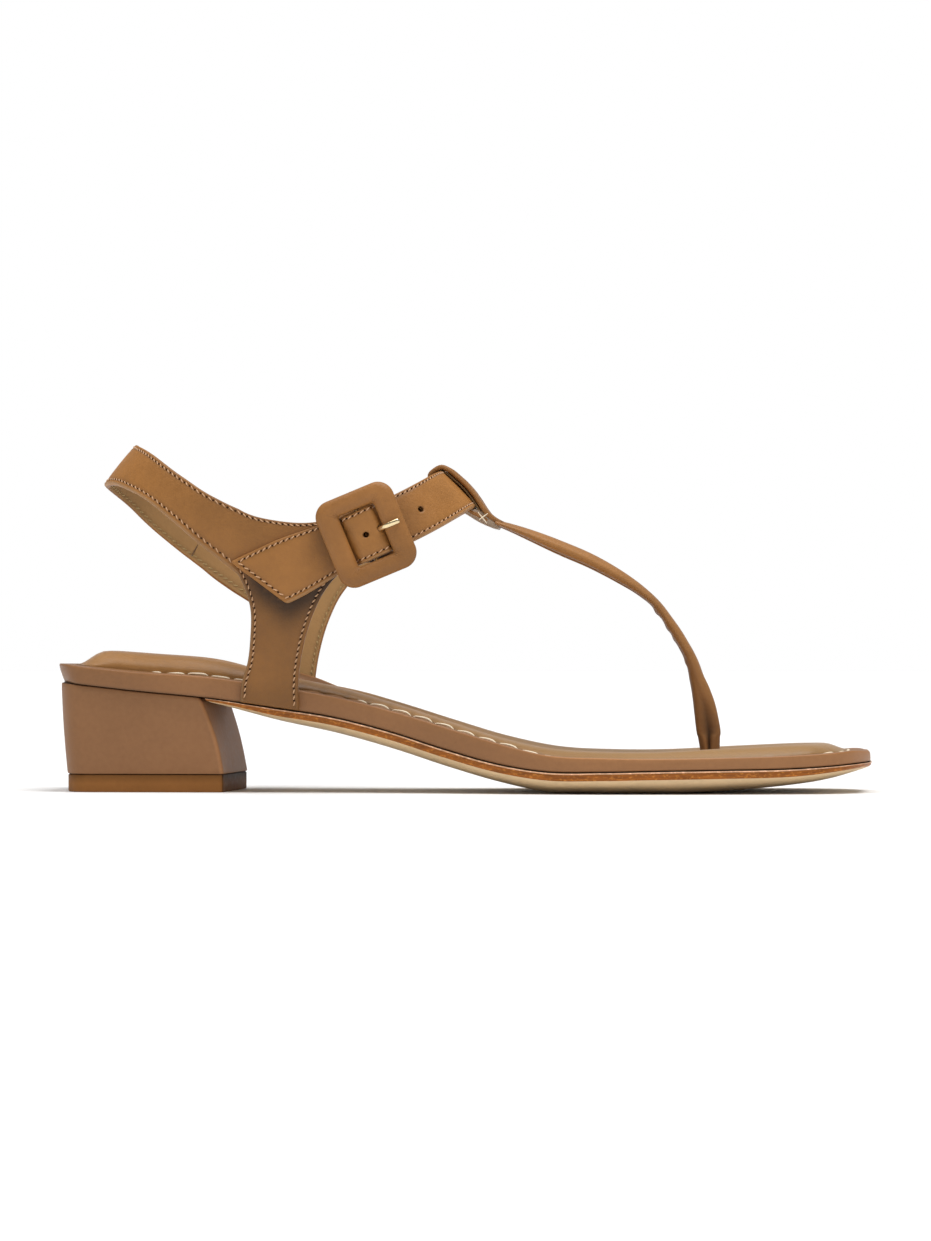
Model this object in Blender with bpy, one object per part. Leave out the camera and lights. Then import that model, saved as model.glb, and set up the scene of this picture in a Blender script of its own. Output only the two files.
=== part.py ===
"""A right heeled sandal: padded foot bed on a wrapped board, leather outsole, block heel, two quarters with a heel
sling, an ankle strap with a covered buckle, and a rolled thong whose loop holds the strap. The toe points along +X,
the outer side of the foot is -Y, and the shoe stands on the plane z = 0. Sizes are in millimetres."""

import math
from collections import namedtuple

import bmesh
import bpy
import numpy as np
from mathutils import Vector
from mathutils.geometry import delaunay_2d_cdt

MM = 0.001
GAP = 0.3

# Ends of the sole and how round its corners are
HEEL_END = -124.4
TOE_END = 124.6
HEEL_CORNER = 11.0
HEEL_STRAIGHT = 0.6
TOE_CORNER = 20.0
TOE_STRAIGHT = 0.42
CORNER_POWER = 2.6

# Plan of the sole: how far the edge lies from the heel's centre line on each side
Plan = namedtuple("Plan", "x lateral medial")
PLAN = [
    Plan(-126, 27.6, 27.6),
    Plan(-100, 29.0, 28.8),
    Plan(-75, 28.8, 28.0),
    Plan(-50, 27.6, 26.0),
    Plan(-25, 28.4, 25.2),
    Plan(0, 32.6, 28.0),
    Plan(22, 38.0, 34.6),
    Plan(42, 40.6, 40.2),
    Plan(62, 39.6, 42.2),
    Plan(82, 36.2, 41.6),
    Plan(102, 31.4, 38.8),
    Plan(126, 25.6, 33.6),
]

# Side view of the sole: height of the seam above the floor, then what stands on it, and the sole's underside
Side = namedtuple("Side", "x seam rim ledge pad floor")
SIDE = [
    Side(-126, 34.1, 5.4, 0.2, 4.4, 30.0),
    Side(-100, 31.1, 5.6, 0.3, 5.4, 29.0),
    Side(-75, 28.6, 6.3, 0.3, 4.9, 26.6),
    Side(-55, 25.7, 6.3, 0.3, 3.2, 21.5),
    Side(-38, 23.0, 6.1, 0.3, 2.5, 17.8),
    Side(-20, 18.5, 6.3, 0.2, 1.8, 12.8),
    Side(-4, 13.5, 6.6, 0.0, 1.6, 7.7),
    Side(12, 9.2, 6.2, -0.1, 1.5, 3.2),
    Side(27, 6.9, 4.9, -0.2, 2.0, 0.2),
    Side(45, 6.8, 4.1, -0.3, 1.9, -0.5),
    Side(60, 7.1, 3.6, -0.3, 2.1, -0.2),
    Side(80, 7.4, 3.6, -0.2, 2.7, 0.7),
    Side(98, 7.7, 3.8, 0.0, 2.9, 2.2),
    Side(112, 8.5, 3.8, 0.2, 2.5, 4.1),
    Side(126, 9.8, 3.9, 0.3, 2.1, 7.4),
]
ARCH_LIFT = 4.4
ARCH_MIDDLE = -46.0
ARCH_REACH = 36.0
ARCH_START = 11.0
ARCH_WIDTH = 15.0
LEDGE_WIDTH = 6.8
PAD_ROUND = 9.0
OUTSOLE_EDGE = 2.3
OUTSOLE_BELLY = 21.0
OUTSOLE_START = -76.4

# Heel block and its top piece
BLOCK_TOP_BACK = -123.5
BLOCK_TOP_BREAST = -77.6
BLOCK_TOP_HALF = 27.4
BLOCK_LOW_BACK = -122.0
BLOCK_LOW_BREAST = -71.0
BLOCK_LOW_HALF = 23.4
BLOCK_CORNER = 9.0
BREAST_SKEW = 0.7
BREAST_CORNER = 2.0
TOP_PIECE = 5.3

# The upper's wall, and the ankle form that the quarters and the sling lie on
WALL = 2.0
SIDE_START = -66.0
SIDE_GIRTH = 52.0
SLING_LOW = 94.5
SLING_BACK = -110.6
SLING_LEAN = 0.818
SLING_DROP = 12.6
SLING_JOIN = 0.74
MEDIAL_BACK = 1.8
Girth = namedtuple("Girth", "z half")
GIRTH = [
    Girth(20, 29.3),
    Girth(32, 29.4),
    Girth(45, 30.4),
    Girth(58, 31.2),
    Girth(82, 31.2),
    Girth(94, 29.8),
    Girth(110, 27.6),
]

# Edges of a quarter in the side view, from the middle of the heel sling forward
Edge = namedtuple("Edge", "x z")
SLING_TOP = [
    Edge(-93.6, 102.5),
    Edge(-83.4, 95.4),
    Edge(-73.7, 89.3),
    Edge(-63.7, 84.4),
    Edge(-54.6, 82.1),
    Edge(-44.0, 81.5),
    Edge(-36.0, 83.0),
]
SLING_UNDER = [
    Edge(-104.6, 93.2),
    Edge(-95.0, 88.6),
    Edge(-87.0, 82.6),
    Edge(-79.1, 76.0),
    Edge(-71.7, 70.3),
    Edge(-65.2, 64.2),
    Edge(-62.5, 56.0),
    Edge(-62.5, 47.0),
    Edge(-63.5, 37.0),
    Edge(-64.6, 27.0),
]
STEM_FRONT = [
    Edge(-47.9, 24.9),
    Edge(-48.0, 34.0),
    Edge(-46.6, 43.5),
    Edge(-43.8, 53.0),
    Edge(-39.7, 61.2),
    Edge(-34.8, 66.6),
    Edge(-28.4, 69.4),
]
SLING_TOP_BACK = 105.5
SLING_UNDER_BACK = 93.6

# End of the lateral quarter under the buckle, where it bends in with the foot
TAB_LOW = Edge(-17.0, 69.6)
TAB_TOP = Edge(-25.0, 88.8)
TAB_BEND_START = -34.0
TAB_BEND = 4300.0

# Ankle strap: a U round the instep, leaning forward at its crest
STRAP_WIDTH = 15.2
STRAP_FLARE = 1.8
STRAP_LIFT = 1.0
STRAP_CREST_X = -2.2
STRAP_CREST_Z = 92.2
STRAP_BEND = 27.0
STRAP_POWER = 2.5
STRAP_LEAN = 25.0
STRAP_CREST_LEAN = 45.0
STRAP_OUT_LATERAL = 33.6
STRAP_OUT_MEDIAL = 33.0
STRAP_RISE = 4.7
STRAP_TIP_TOP = -91.0
STRAP_TIP_LOW = -80.8
STRAP_SQUARE = 62.0
STRAP_SEWN_END = 77.4
HOLE_RADIUS = 0.85
HOLE_STEP = 6.1

# Buckle: covered frame, bar across its middle, prong round the bar
BUCKLE_X = -26.8
BUCKLE_TURN = -2.5
FRAME_HALF_LONG = 12.4
FRAME_HALF_WIDE = 13.75
WINDOW_HALF_LONG = 5.7
WINDOW_HALF_WIDE = 8.2
FRAME_CORNER = 5.0
WINDOW_CORNER = 0.8
FRAME_LEVEL = 4.4
FRAME_THICK = 3.8
BAR_LEVEL = 2.4
BAR_RADIUS = 0.7
BAR_HALF_LONG = 8.6
BUMP_HEIGHT = 4.4
BUMP_FLAT = 3.6
BUMP_END = 7.1
PRONG_RADIUS = 0.5
PRONG_HOOK = 1.45

# Thong: a strip rolled to an oval, from the loop down to the toe post
Thong = namedtuple("Thong", "x z wide high seam_turn")
THONG = [
    Thong(9.6, 82.0, 12.4, 2.8, 30),
    Thong(13.8, 80.6, 11.9, 3.0, 35),
    Thong(20.0, 78.3, 11.4, 3.7, 40),
    Thong(29.2, 74.5, 10.6, 4.4, 40),
    Thong(38.4, 70.5, 10.0, 4.4, 40),
    Thong(47.6, 65.4, 9.2, 3.9, 40),
    Thong(53.7, 61.3, 8.6, 3.2, 40),
    Thong(58.8, 56.7, 8.0, 2.8, 42),
    Thong(62.3, 51.8, 7.4, 3.1, 46),
    Thong(66.9, 44.3, 6.8, 3.5, 54),
    Thong(69.3, 39.4, 6.3, 3.8, 62),
    Thong(70.7, 34.5, 5.8, 4.7, 70),
    Thong(72.2, 29.6, 5.3, 6.0, 78),
    Thong(73.3, 24.6, 4.9, 7.0, 84),
    Thong(74.0, 19.7, 4.6, 7.4, 86),
    Thong(74.6, 14.8, 4.4, 6.4, 86),
    Thong(74.8, 11.4, 4.4, 5.8, 86),
]
THONG_SIDE = 8.0
THONG_SEAM_WIDE = 20.0
THONG_SEAM_DEEP = 0.55

# Loop of the thong round the ankle strap's crest, from the outer end over the top to the inner end
LOOP_WIDE = 12.8
LOOP_THICK = 1.6
LOOP_TAPER = 0.25
Loop = namedtuple("Loop", "x z")
LOOP = [
    Loop(11.5, 81.9),
    Loop(9.4, 83.0),
    Loop(7.5, 84.4),
    Loop(6.0, 86.3),
    Loop(4.4, 88.8),
    Loop(2.4, 91.6),
    Loop(0.3, 94.0),
    Loop(-2.2, 96.3),
    Loop(-4.7, 98.3),
    Loop(-7.0, 99.2),
    Loop(-9.1, 98.2),
    Loop(-10.5, 96.6),
    Loop(-10.1, 95.4),
    Loop(-8.7, 94.8),
    Loop(-6.4, 93.8),
    Loop(-3.6, 91.0),
    Loop(-0.9, 87.9),
    Loop(1.4, 85.5),
    Loop(4.4, 83.5),
    Loop(6.9, 82.1),
    Loop(9.2, 80.8),
    Loop(10.9, 79.8),
]


def clear_scene():
    for old in list(bpy.data.objects):
        bpy.data.objects.remove(old, do_unlink=True)


def collection(name):
    made = bpy.data.collections.new(name)
    bpy.context.scene.collection.children.link(made)
    return made


def material(name, colour, roughness):
    made = bpy.data.materials.new(name)
    made.use_nodes = True
    shader = made.node_tree.nodes["Principled BSDF"]
    shader.inputs["Base Color"].default_value = (*colour, 1.0)
    shader.inputs["Roughness"].default_value = roughness
    return made


def spline(knots, values, at):
    """Cubic curve through the rows, with slopes taken from the neighbours on each side."""
    knots = np.asarray(knots, float)
    values = np.asarray(values, float)
    at = np.asarray(at, float)
    steps = np.diff(knots)
    rises = np.diff(values) / steps
    slopes = np.empty_like(values)
    slopes[1:-1] = (rises[:-1] * steps[1:] + rises[1:] * steps[:-1]) / (steps[:-1] + steps[1:])
    slopes[0] = rises[0]
    slopes[-1] = rises[-1]
    row = np.clip(np.searchsorted(knots, at) - 1, 0, len(knots) - 2)
    width = steps[row]
    t = np.clip((at - knots[row]) / width, 0, 1)
    return (
        values[row] * (1 + 2 * t) * (1 - t) ** 2
        + values[row + 1] * t**2 * (3 - 2 * t)
        + width * slopes[row] * t * (1 - t) ** 2
        - width * slopes[row + 1] * t**2 * (1 - t)
    )


def column(table, name, at):
    return spline([row[0] for row in table], [getattr(row, name) for row in table], at)


def ease(t):
    t = np.clip(t, 0, 1)
    return t * t * (3 - 2 * t)


def trace(points, spacing):
    """Points at about this spacing on a smooth curve through the given ones."""
    points = np.asarray(points, float)
    along = np.concatenate([[0], np.cumsum(np.linalg.norm(np.diff(points, axis=0), axis=1))])
    count = max(2, int(round(along[-1] / spacing)) + 1)
    at = np.linspace(0, along[-1], count)
    return np.stack([spline(along, points[:, i], at) for i in range(points.shape[1])], axis=1)


def solid(name, points, faces, look, home):
    """An object from points in millimetres, its faces turned outward."""
    mesh = bpy.data.meshes.new(name)
    mesh.from_pydata([tuple(np.asarray(p) * MM) for p in points], [], faces)
    shape = bmesh.new()
    shape.from_mesh(mesh)
    bmesh.ops.recalc_face_normals(shape, faces=shape.faces)
    shape.to_mesh(mesh)
    shape.free()
    made = bpy.data.objects.new(name, mesh)
    home.objects.link(made)
    if look:
        mesh.materials.append(look)
    return made


def skin(rings, joined):
    """Faces between neighbouring rings of equal length."""
    size = len(rings[0])
    faces = []
    for low in range(len(rings) if joined else len(rings) - 1):
        high = (low + 1) % len(rings)
        for i in range(size):
            j = (i + 1) % size
            faces.append((low * size + i, low * size + j, high * size + j, high * size + i))
    return faces


def stack(name, rings, look, home):
    """A solid through rings that run up one side and back down the other, capped across the two sides."""
    size = len(rings[0])
    half = size // 2
    faces = skin(rings, False)
    for first in (0, (len(rings) - 1) * size):
        for i in range(half - 1):
            faces.append((first + i, first + i + 1, first + size - 2 - i, first + size - 1 - i))
    return solid(name, np.concatenate(rings), faces, look, home)


def loft(name, sections, look, home, joined=False):
    size = len(sections[0])
    faces = skin(sections, joined)
    if not joined:
        faces.append(tuple(range(size)))
        faces.append(tuple(range((len(sections) - 1) * size, len(sections) * size)))
    return solid(name, np.concatenate(sections), faces, look, home)


def corner_curve(straight):
    """A corner from the straight end to the side: how far along the side, and the share of the half width."""
    power = 2 / CORNER_POWER
    turn = np.linspace(math.asin(straight ** (1 / power)), math.pi / 2, 6)
    return 1 - np.cos(turn) ** power, np.sin(turn) ** power


def outline(inset, start, start_corner):
    """Plan points of the sole drawn in by the inset: up the lateral side, then back down the medial side."""
    first = start + inset
    last = TOE_END - inset
    lead = max(start_corner - 0.5 * inset, 2.0)
    tail = max(TOE_CORNER - 0.5 * inset, 2.0)
    start_reach, start_share = corner_curve(HEEL_STRAIGHT)
    end_reach, end_share = corner_curve(TOE_STRAIGHT)
    middle = np.linspace(first + lead, last - tail, 19)[1:-1]
    x = np.concatenate([first + lead * start_reach, middle, (last - tail * end_reach)[::-1]])
    full = np.concatenate([start_share, np.ones(len(middle)), end_share[::-1]])
    lateral = column(PLAN, "lateral", x)
    medial = column(PLAN, "medial", x)
    centre = (medial - lateral) / 2
    half = ((medial + lateral) / 2 - inset) * full
    up = np.stack([x, centre - half], axis=1)
    down = np.stack([x, centre + half], axis=1)[::-1]
    return np.concatenate([up, down])


def whole_outline(inset):
    return outline(inset, HEEL_END, HEEL_CORNER)


def outsole_outline(inset):
    return outline(inset, OUTSOLE_START, BREAST_CORNER)


def arch_lift(x, y):
    """The medial side of the foot bed stands a little higher at the arch."""
    near = np.clip(1 - np.abs(x - ARCH_MIDDLE) / ARCH_REACH, 0, 1)
    return ARCH_LIFT * ease(near) * ease((y - ARCH_START) / ARCH_WIDTH)


def seam_height(x):
    return column(SIDE, "seam", x)


def ledge_height(x, y):
    return seam_height(x) + column(SIDE, "rim", x) + column(SIDE, "ledge", x) + arch_lift(x, y)


def raised(plan, heights):
    return np.column_stack([plan, heights])


def make_midsole(look, home):
    wall = [(2.5, 0.0), (0.7, 0.0), (0.15, 0.3), (0.0, 0.65), (0.3, 0.9), (1.2, 1.0)]
    rings = []
    for inset, share in wall:
        plan = whole_outline(inset)
        x, y = plan.T
        rim = column(SIDE, "rim", x) + arch_lift(x, y)
        rings.append(raised(plan, seam_height(x) + share * rim))
    for inset, drop in ((LEDGE_WIDTH, 0.0), (LEDGE_WIDTH + 0.8, 0.9)):
        plan = whole_outline(inset)
        rings.append(raised(plan, ledge_height(*plan.T) - drop))
    return stack("midsole", rings, look, home)


def make_insole(look, home):
    rings = []
    for inset, lift in ((LEDGE_WIDTH + 1.3, -GAP), (LEDGE_WIDTH + 0.4, GAP)):
        plan = whole_outline(inset)
        rings.append(raised(plan, ledge_height(*plan.T) + lift))
    for turn in np.radians((22, 45, 68, 90)):
        plan = whole_outline(LEDGE_WIDTH + 0.4 + PAD_ROUND * (1 - math.cos(turn)))
        x, y = plan.T
        crest = column(SIDE, "pad", x) - GAP
        rings.append(raised(plan, ledge_height(x, y) + GAP + crest * math.sin(turn)))
    return stack("insole", rings, look, home)


def make_outsole(look, home):
    rings = []
    for inset, drop in ((3.0, GAP), (0.7, GAP), (0.35, 0.5 * OUTSOLE_EDGE), (0.5, OUTSOLE_EDGE)):
        plan = outsole_outline(inset)
        rings.append(raised(plan, seam_height(plan[:, 0]) - drop))
    for turn in np.radians((22, 45, 68, 90)):
        plan = outsole_outline(0.5 + OUTSOLE_BELLY * (1 - math.cos(turn)))
        x = plan[:, 0]
        edge = seam_height(x) - OUTSOLE_EDGE
        floor = np.maximum(column(SIDE, "floor", x), 0)
        rings.append(raised(plan, edge + (np.minimum(floor, edge - 0.2) - edge) * math.sin(turn)))
    return stack("outsole", rings, look, home)


def heel_plan(back, breast, half_wide):
    """Plan of the heel: round corners at the back and nearly square ones at the breast."""
    reach, share = corner_curve(HEEL_STRAIGHT)
    front = np.radians((90, 45, 0))
    x = np.concatenate([
        back + BLOCK_CORNER * reach,
        breast - BREAST_CORNER * (1 - np.cos(front)),
    ])
    y = np.concatenate([half_wide * share, half_wide - BREAST_CORNER * (1 - np.sin(front))])
    skew = BREAST_SKEW * y / half_wide * (x - back) / (breast - back)
    up = np.stack([x - skew, -y], axis=1)
    down = np.stack([x + skew, y], axis=1)[::-1]
    return np.concatenate([up, down])


def make_heel(block_look, piece_look, home):
    top = heel_plan(BLOCK_TOP_BACK, BLOCK_TOP_BREAST, BLOCK_TOP_HALF)
    low = heel_plan(BLOCK_LOW_BACK, BLOCK_LOW_BREAST, BLOCK_LOW_HALF)
    top_ring = raised(top, seam_height(top[:, 0]) - GAP)
    low_ring = raised(low, np.full(len(low), TOP_PIECE + GAP))
    rings = [low_ring + (top_ring - low_ring) * share for share in (0.0, 0.33, 0.67, 1.0)]
    stack("heel_block", rings, block_look, home)
    sides = [raised(low, np.full(len(low), height)) for height in (0.0, TOP_PIECE)]
    stack("heel_top_piece", sides, piece_look, home)


def sling_back(z):
    return SLING_BACK + SLING_LEAN * (z - SLING_LOW)


def girth_of(x, z):
    """How far round the heel a point of the side view lies, from the middle of the back."""
    reach = SIDE_START - sling_back(z)
    turn = math.acos(min(1.0, max(0.0, (SIDE_START - x) / reach)))
    return SIDE_GIRTH + x - SIDE_START if x > SIDE_START else SIDE_GIRTH * turn / (math.pi / 2)


def ankle_point(girth, z):
    """A point of the ankle form: girth is negative on the lateral side, and the medial sling hangs lower."""
    far = np.abs(girth)
    turn = np.minimum(far / SIDE_GIRTH, 1) * math.pi / 2
    reach = SIDE_START - sling_back(z)
    x = SIDE_START - reach * np.cos(turn) + np.maximum(far - SIDE_GIRTH, 0)
    y = np.sign(girth) * column(GIRTH, "half", z) * np.sin(turn)
    y *= 1 - np.maximum(x - TAB_BEND_START, 0) ** 2 / TAB_BEND
    behind = ease((-62 - x) / 22)
    joining = ease((-50 - x) / 16) * ease((88 - z) / 16)
    slack = ease((girth + 2.7) / 38.7) * (behind + (1 - behind) * SLING_JOIN * joining) * ease((z - 40) / 20)
    x = x - MEDIAL_BACK * ease((girth - 40) / 15)
    return np.stack([x, y, z - SLING_DROP * slack], axis=-1)


def ankle_normal(girth, z):
    step = 0.05
    along = ankle_point(girth + step, z) - ankle_point(girth - step, z)
    up = ankle_point(girth, z + step) - ankle_point(girth, z - step)
    out = np.cross(up, along)
    return out / np.linalg.norm(out, axis=-1, keepdims=True)


def quarter_outline(spacing):
    """The cut edge of the two quarters and the sling, as girth and height."""
    under = [(0.0, SLING_UNDER_BACK)] + [(girth_of(*row), row.z) for row in SLING_UNDER]
    front = [(girth_of(*row), row.z) for row in STEM_FRONT]
    top = [(0.0, SLING_TOP_BACK)] + [(girth_of(*row), row.z) for row in SLING_TOP]
    foot = trace([under[-1], front[0]], spacing)[1:-1]
    lower = [trace(under, spacing), foot, trace(front, spacing)]
    upper = trace(top[::-1], spacing)
    medial = np.concatenate(lower + [trace([front[-1], top[-1]], spacing)[1:-1], upper])
    tab = [(girth_of(*row), row.z) for row in (TAB_LOW, TAB_TOP)]
    ends = [trace(pair, spacing)[1:] for pair in ((front[-1], tab[0]), tab, (tab[1], top[-1]))]
    lateral = np.concatenate(lower + ends + [upper[1:]])
    return np.concatenate([lateral * (-1, 1), medial[-2:0:-1]])


def cut_sheet(edge, spacing):
    """Triangles that fill a closed edge, with points inside it at about the spacing."""
    low = edge.min(axis=0)
    high = edge.max(axis=0)
    grid = np.stack(np.meshgrid(*(np.arange(a, b, spacing) for a, b in zip(low, high))), axis=-1)
    grid = grid.reshape(-1, 2)
    ends = np.roll(edge, -1, axis=0)
    run = ends - edge
    share = ((grid[:, None] - edge) * run).sum(-1) / (run * run).sum(-1)
    foot = edge + np.clip(share, 0, 1)[..., None] * run
    grid = grid[np.linalg.norm(grid[:, None] - foot, axis=-1).min(axis=1) > 0.6 * spacing]
    points = [Vector(p) for p in np.concatenate([edge, grid])]
    found = delaunay_2d_cdt(points, [], [list(range(len(edge)))], 1, 1e-6)
    return np.array([tuple(p) for p in found[0]]), [tuple(face) for face in found[2]]


def make_quarters(home):
    spacing = 4.0
    flat, faces = cut_sheet(quarter_outline(spacing), spacing)
    middle = ankle_point(flat[:, 0], flat[:, 1])
    out = ankle_normal(flat[:, 0], flat[:, 1]) * WALL / 2
    count = len(flat)
    sides = {(a, b) for face in faces for a, b in zip(face, face[1:] + face[:1])}
    rim = [(a, b) for a, b in sides if (b, a) not in sides]
    walls = [(b, a, a + count, b + count) for a, b in rim]
    inner = [tuple(i + count for i in face[::-1]) for face in faces]
    points = np.concatenate([middle + out, middle - out])
    return solid("quarters", points, faces + inner + walls, None, home)


def strap_path():
    """The strap's middle line from its lateral tip over the crest to its sewn end, with distance and lean."""
    turn = np.linspace(0, math.pi / 2, 40)
    bend = 1 - np.cos(turn) ** (2 / STRAP_POWER)
    share = np.sin(turn) ** (2 / STRAP_POWER)
    straight = np.arange(1.0, 75.0, 1.0)
    back = np.concatenate([STRAP_BEND * bend, STRAP_BEND + straight])
    side = np.concatenate([share, np.ones(len(straight))])
    lean = np.radians(STRAP_LEAN + (STRAP_CREST_LEAN - STRAP_LEAN) * (1 - side**2))
    x = STRAP_CREST_X - back
    drop = np.concatenate([[0], np.cumsum(np.diff(back) * np.tan((lean[1:] + lean[:-1]) / 2))])
    z = STRAP_CREST_Z - drop
    halves = []
    for sign, out in ((-1, STRAP_OUT_LATERAL), (1, STRAP_OUT_MEDIAL)):
        rise = max(sign, 0) * STRAP_RISE * ease(side) * (1 - ease((back - 36) / 18))
        line = np.stack([x, sign * out * side, z + rise], axis=1)
        run = np.concatenate([[0], np.cumsum(np.linalg.norm(np.diff(line, axis=0), axis=1))])
        halves.append((sign * run, line, lean))
    (run_a, line_a, lean_a), (run_b, line_b, lean_b) = halves
    run = np.concatenate([run_a[::-1], run_b[1:]])
    line = np.concatenate([line_a[::-1], line_b[1:]])
    return run, line, np.concatenate([lean_a[::-1], lean_b[1:]])


STRAP_RUN, STRAP_LINE, STRAP_LEANS = strap_path()
LATERAL_HALF = len(STRAP_RUN) // 2
BUCKLE_RUN = float(np.interp(BUCKLE_X, STRAP_LINE[:LATERAL_HALF, 0], STRAP_RUN[:LATERAL_HALF]))


def strap_axes(run):
    """Middle point, direction along, direction across and outward normal of the strap there."""
    def line(at):
        return np.array([np.interp(at, STRAP_RUN, STRAP_LINE[:, i]) for i in range(3)])

    lean = np.interp(run, STRAP_RUN, STRAP_LEANS)
    across = np.array([-math.sin(lean), 0, math.cos(lean)])
    along = line(run + 0.6) - line(run - 0.6)
    along -= across * (along @ across)
    along /= np.linalg.norm(along)
    return line(run), along, across, np.cross(along, across)


def strap_bump(run):
    """How far the strap rises over the bar of the buckle."""
    away = abs(run - BUCKLE_RUN)
    return BUMP_HEIGHT * (1 - ease((away - BUMP_FLAT) / (BUMP_END - BUMP_FLAT)))


def strap_point(run, across, out):
    """A point of the strap, which widens and lies a little higher towards its tip."""
    flare = 1 + 2 * STRAP_FLARE / STRAP_WIDTH * ease((-run - 56) / 22)
    across = across * flare + STRAP_LIFT * ease((-run - 52) / 9)
    middle, _, wide, normal = strap_axes(run)
    return middle + wide * across + normal * (out + strap_bump(run))


def make_strap(home):
    runs = np.concatenate([
        np.arange(0, 41, 3.7),
        np.arange(41.5, STRAP_SQUARE, 1.15),
        np.linspace(STRAP_SQUARE, -STRAP_TIP_LOW, 6),
    ])
    half = STRAP_WIDTH / 2
    sections = []
    for run in -runs[::-1]:
        slant = max(0, (-run - STRAP_SQUARE) / (-STRAP_TIP_LOW - STRAP_SQUARE))
        top = run + (STRAP_TIP_TOP - STRAP_TIP_LOW) * slant
        sections.append([
            strap_point(run, -half, WALL / 2),
            strap_point(top, half, WALL / 2),
            strap_point(top, half, -WALL / 2),
            strap_point(run, -half, -WALL / 2),
        ])
    for run in np.linspace(0, STRAP_SEWN_END, 22)[1:]:
        corners = ((-half, 1), (half, 1), (half, -1), (-half, -1))
        sections.append([strap_point(run, across, side * WALL / 2) for across, side in corners])
    return loft("ankle_strap", sections, None, home)


def along_plane(rows):
    """Unit direction along a side-view line and the normal on its left, at each row."""
    along = np.gradient(rows, axis=0)
    along /= np.linalg.norm(along, axis=1, keepdims=True)
    return along, np.stack([-along[:, 1], along[:, 0]], axis=1)


def make_loop(home):
    line = trace([(row.x, row.z) for row in LOOP], 1.6)
    _, left = along_plane(line)
    end = np.minimum(np.arange(len(line)), np.arange(len(line))[::-1]) * 1.6
    half = LOOP_WIDE / 2 * (1 - LOOP_TAPER * ease(1 - end / 8))
    sections = []
    for (x, z), (nx, nz), wide in zip(line, left, half):
        up, over = nx * LOOP_THICK / 2, nz * LOOP_THICK / 2
        sections.append([
            (x + up, -wide, z + over),
            (x + up, wide, z + over),
            (x - up, wide, z - over),
            (x - up, -wide, z - over),
        ])
    return loft("thong_loop", sections, None, home)


def thong_side(x):
    return THONG_SIDE * ease((x - 6) / 66)


def make_thong(home):
    """Oval sections whose edges meet in a seam: underneath at the loop, on the lateral side at the toe post."""
    rows = trace([tuple(row) for row in THONG], 4.5)
    _, left = along_plane(rows[:, :2])
    sections = []
    for (x, z, wide, high, seam), (nx, nz) in zip(rows, left):
        start = -90 - seam + THONG_SEAM_WIDE
        turns = np.radians(np.linspace(start, start + 360 - 2 * THONG_SEAM_WIDE, 15))
        across = np.append(np.cos(turns) * wide / 2, math.cos(math.radians(-90 - seam)) * wide / 2)
        up = np.append(np.sin(turns) * high / 2, math.sin(math.radians(-90 - seam)) * high / 2)
        across[-1] *= 1 - THONG_SEAM_DEEP
        up[-1] *= 1 - THONG_SEAM_DEEP
        side = thong_side(x)
        sections.append(np.column_stack([x + nx * up, side + across, z + nz * up]))
    return loft("thong", sections, None, home)


def cylinder(name, radius, start, end, look, home, sides=14):
    """A straight round bar between two points."""
    start = np.asarray(start)
    end = np.asarray(end)
    axis = Vector(end - start)
    mesh = bpy.data.meshes.new(name)
    shape = bmesh.new()
    size = radius * MM
    bmesh.ops.create_cone(
        shape, cap_ends=True, segments=sides, radius1=size, radius2=size, depth=axis.length * MM
    )
    shape.to_mesh(mesh)
    shape.free()
    made = bpy.data.objects.new(name, mesh)
    made.rotation_mode = "QUATERNION"
    made.rotation_quaternion = Vector((0, 0, 1)).rotation_difference(axis)
    made.location = Vector((start + end) / 2) * MM
    home.objects.link(made)
    if look:
        mesh.materials.append(look)
    return made


def buckle_point(along, across, out):
    """A point of the buckle's own frame, whose middle lies on the strap under the bar."""
    middle, forward, wide, normal = strap_axes(BUCKLE_RUN)
    turn = math.radians(BUCKLE_TURN)
    first = forward * math.cos(turn) + wide * math.sin(turn)
    second = wide * math.cos(turn) - forward * math.sin(turn)
    return middle + first * along + second * across + normal * out


PRONG = [(1.45, 2.4), (2.9, 3.3), (4.2, 4.4), (5.4, 5.65), (6.7, 6.75), (8.6, 7.25), (11.0, 7.0)]


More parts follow.
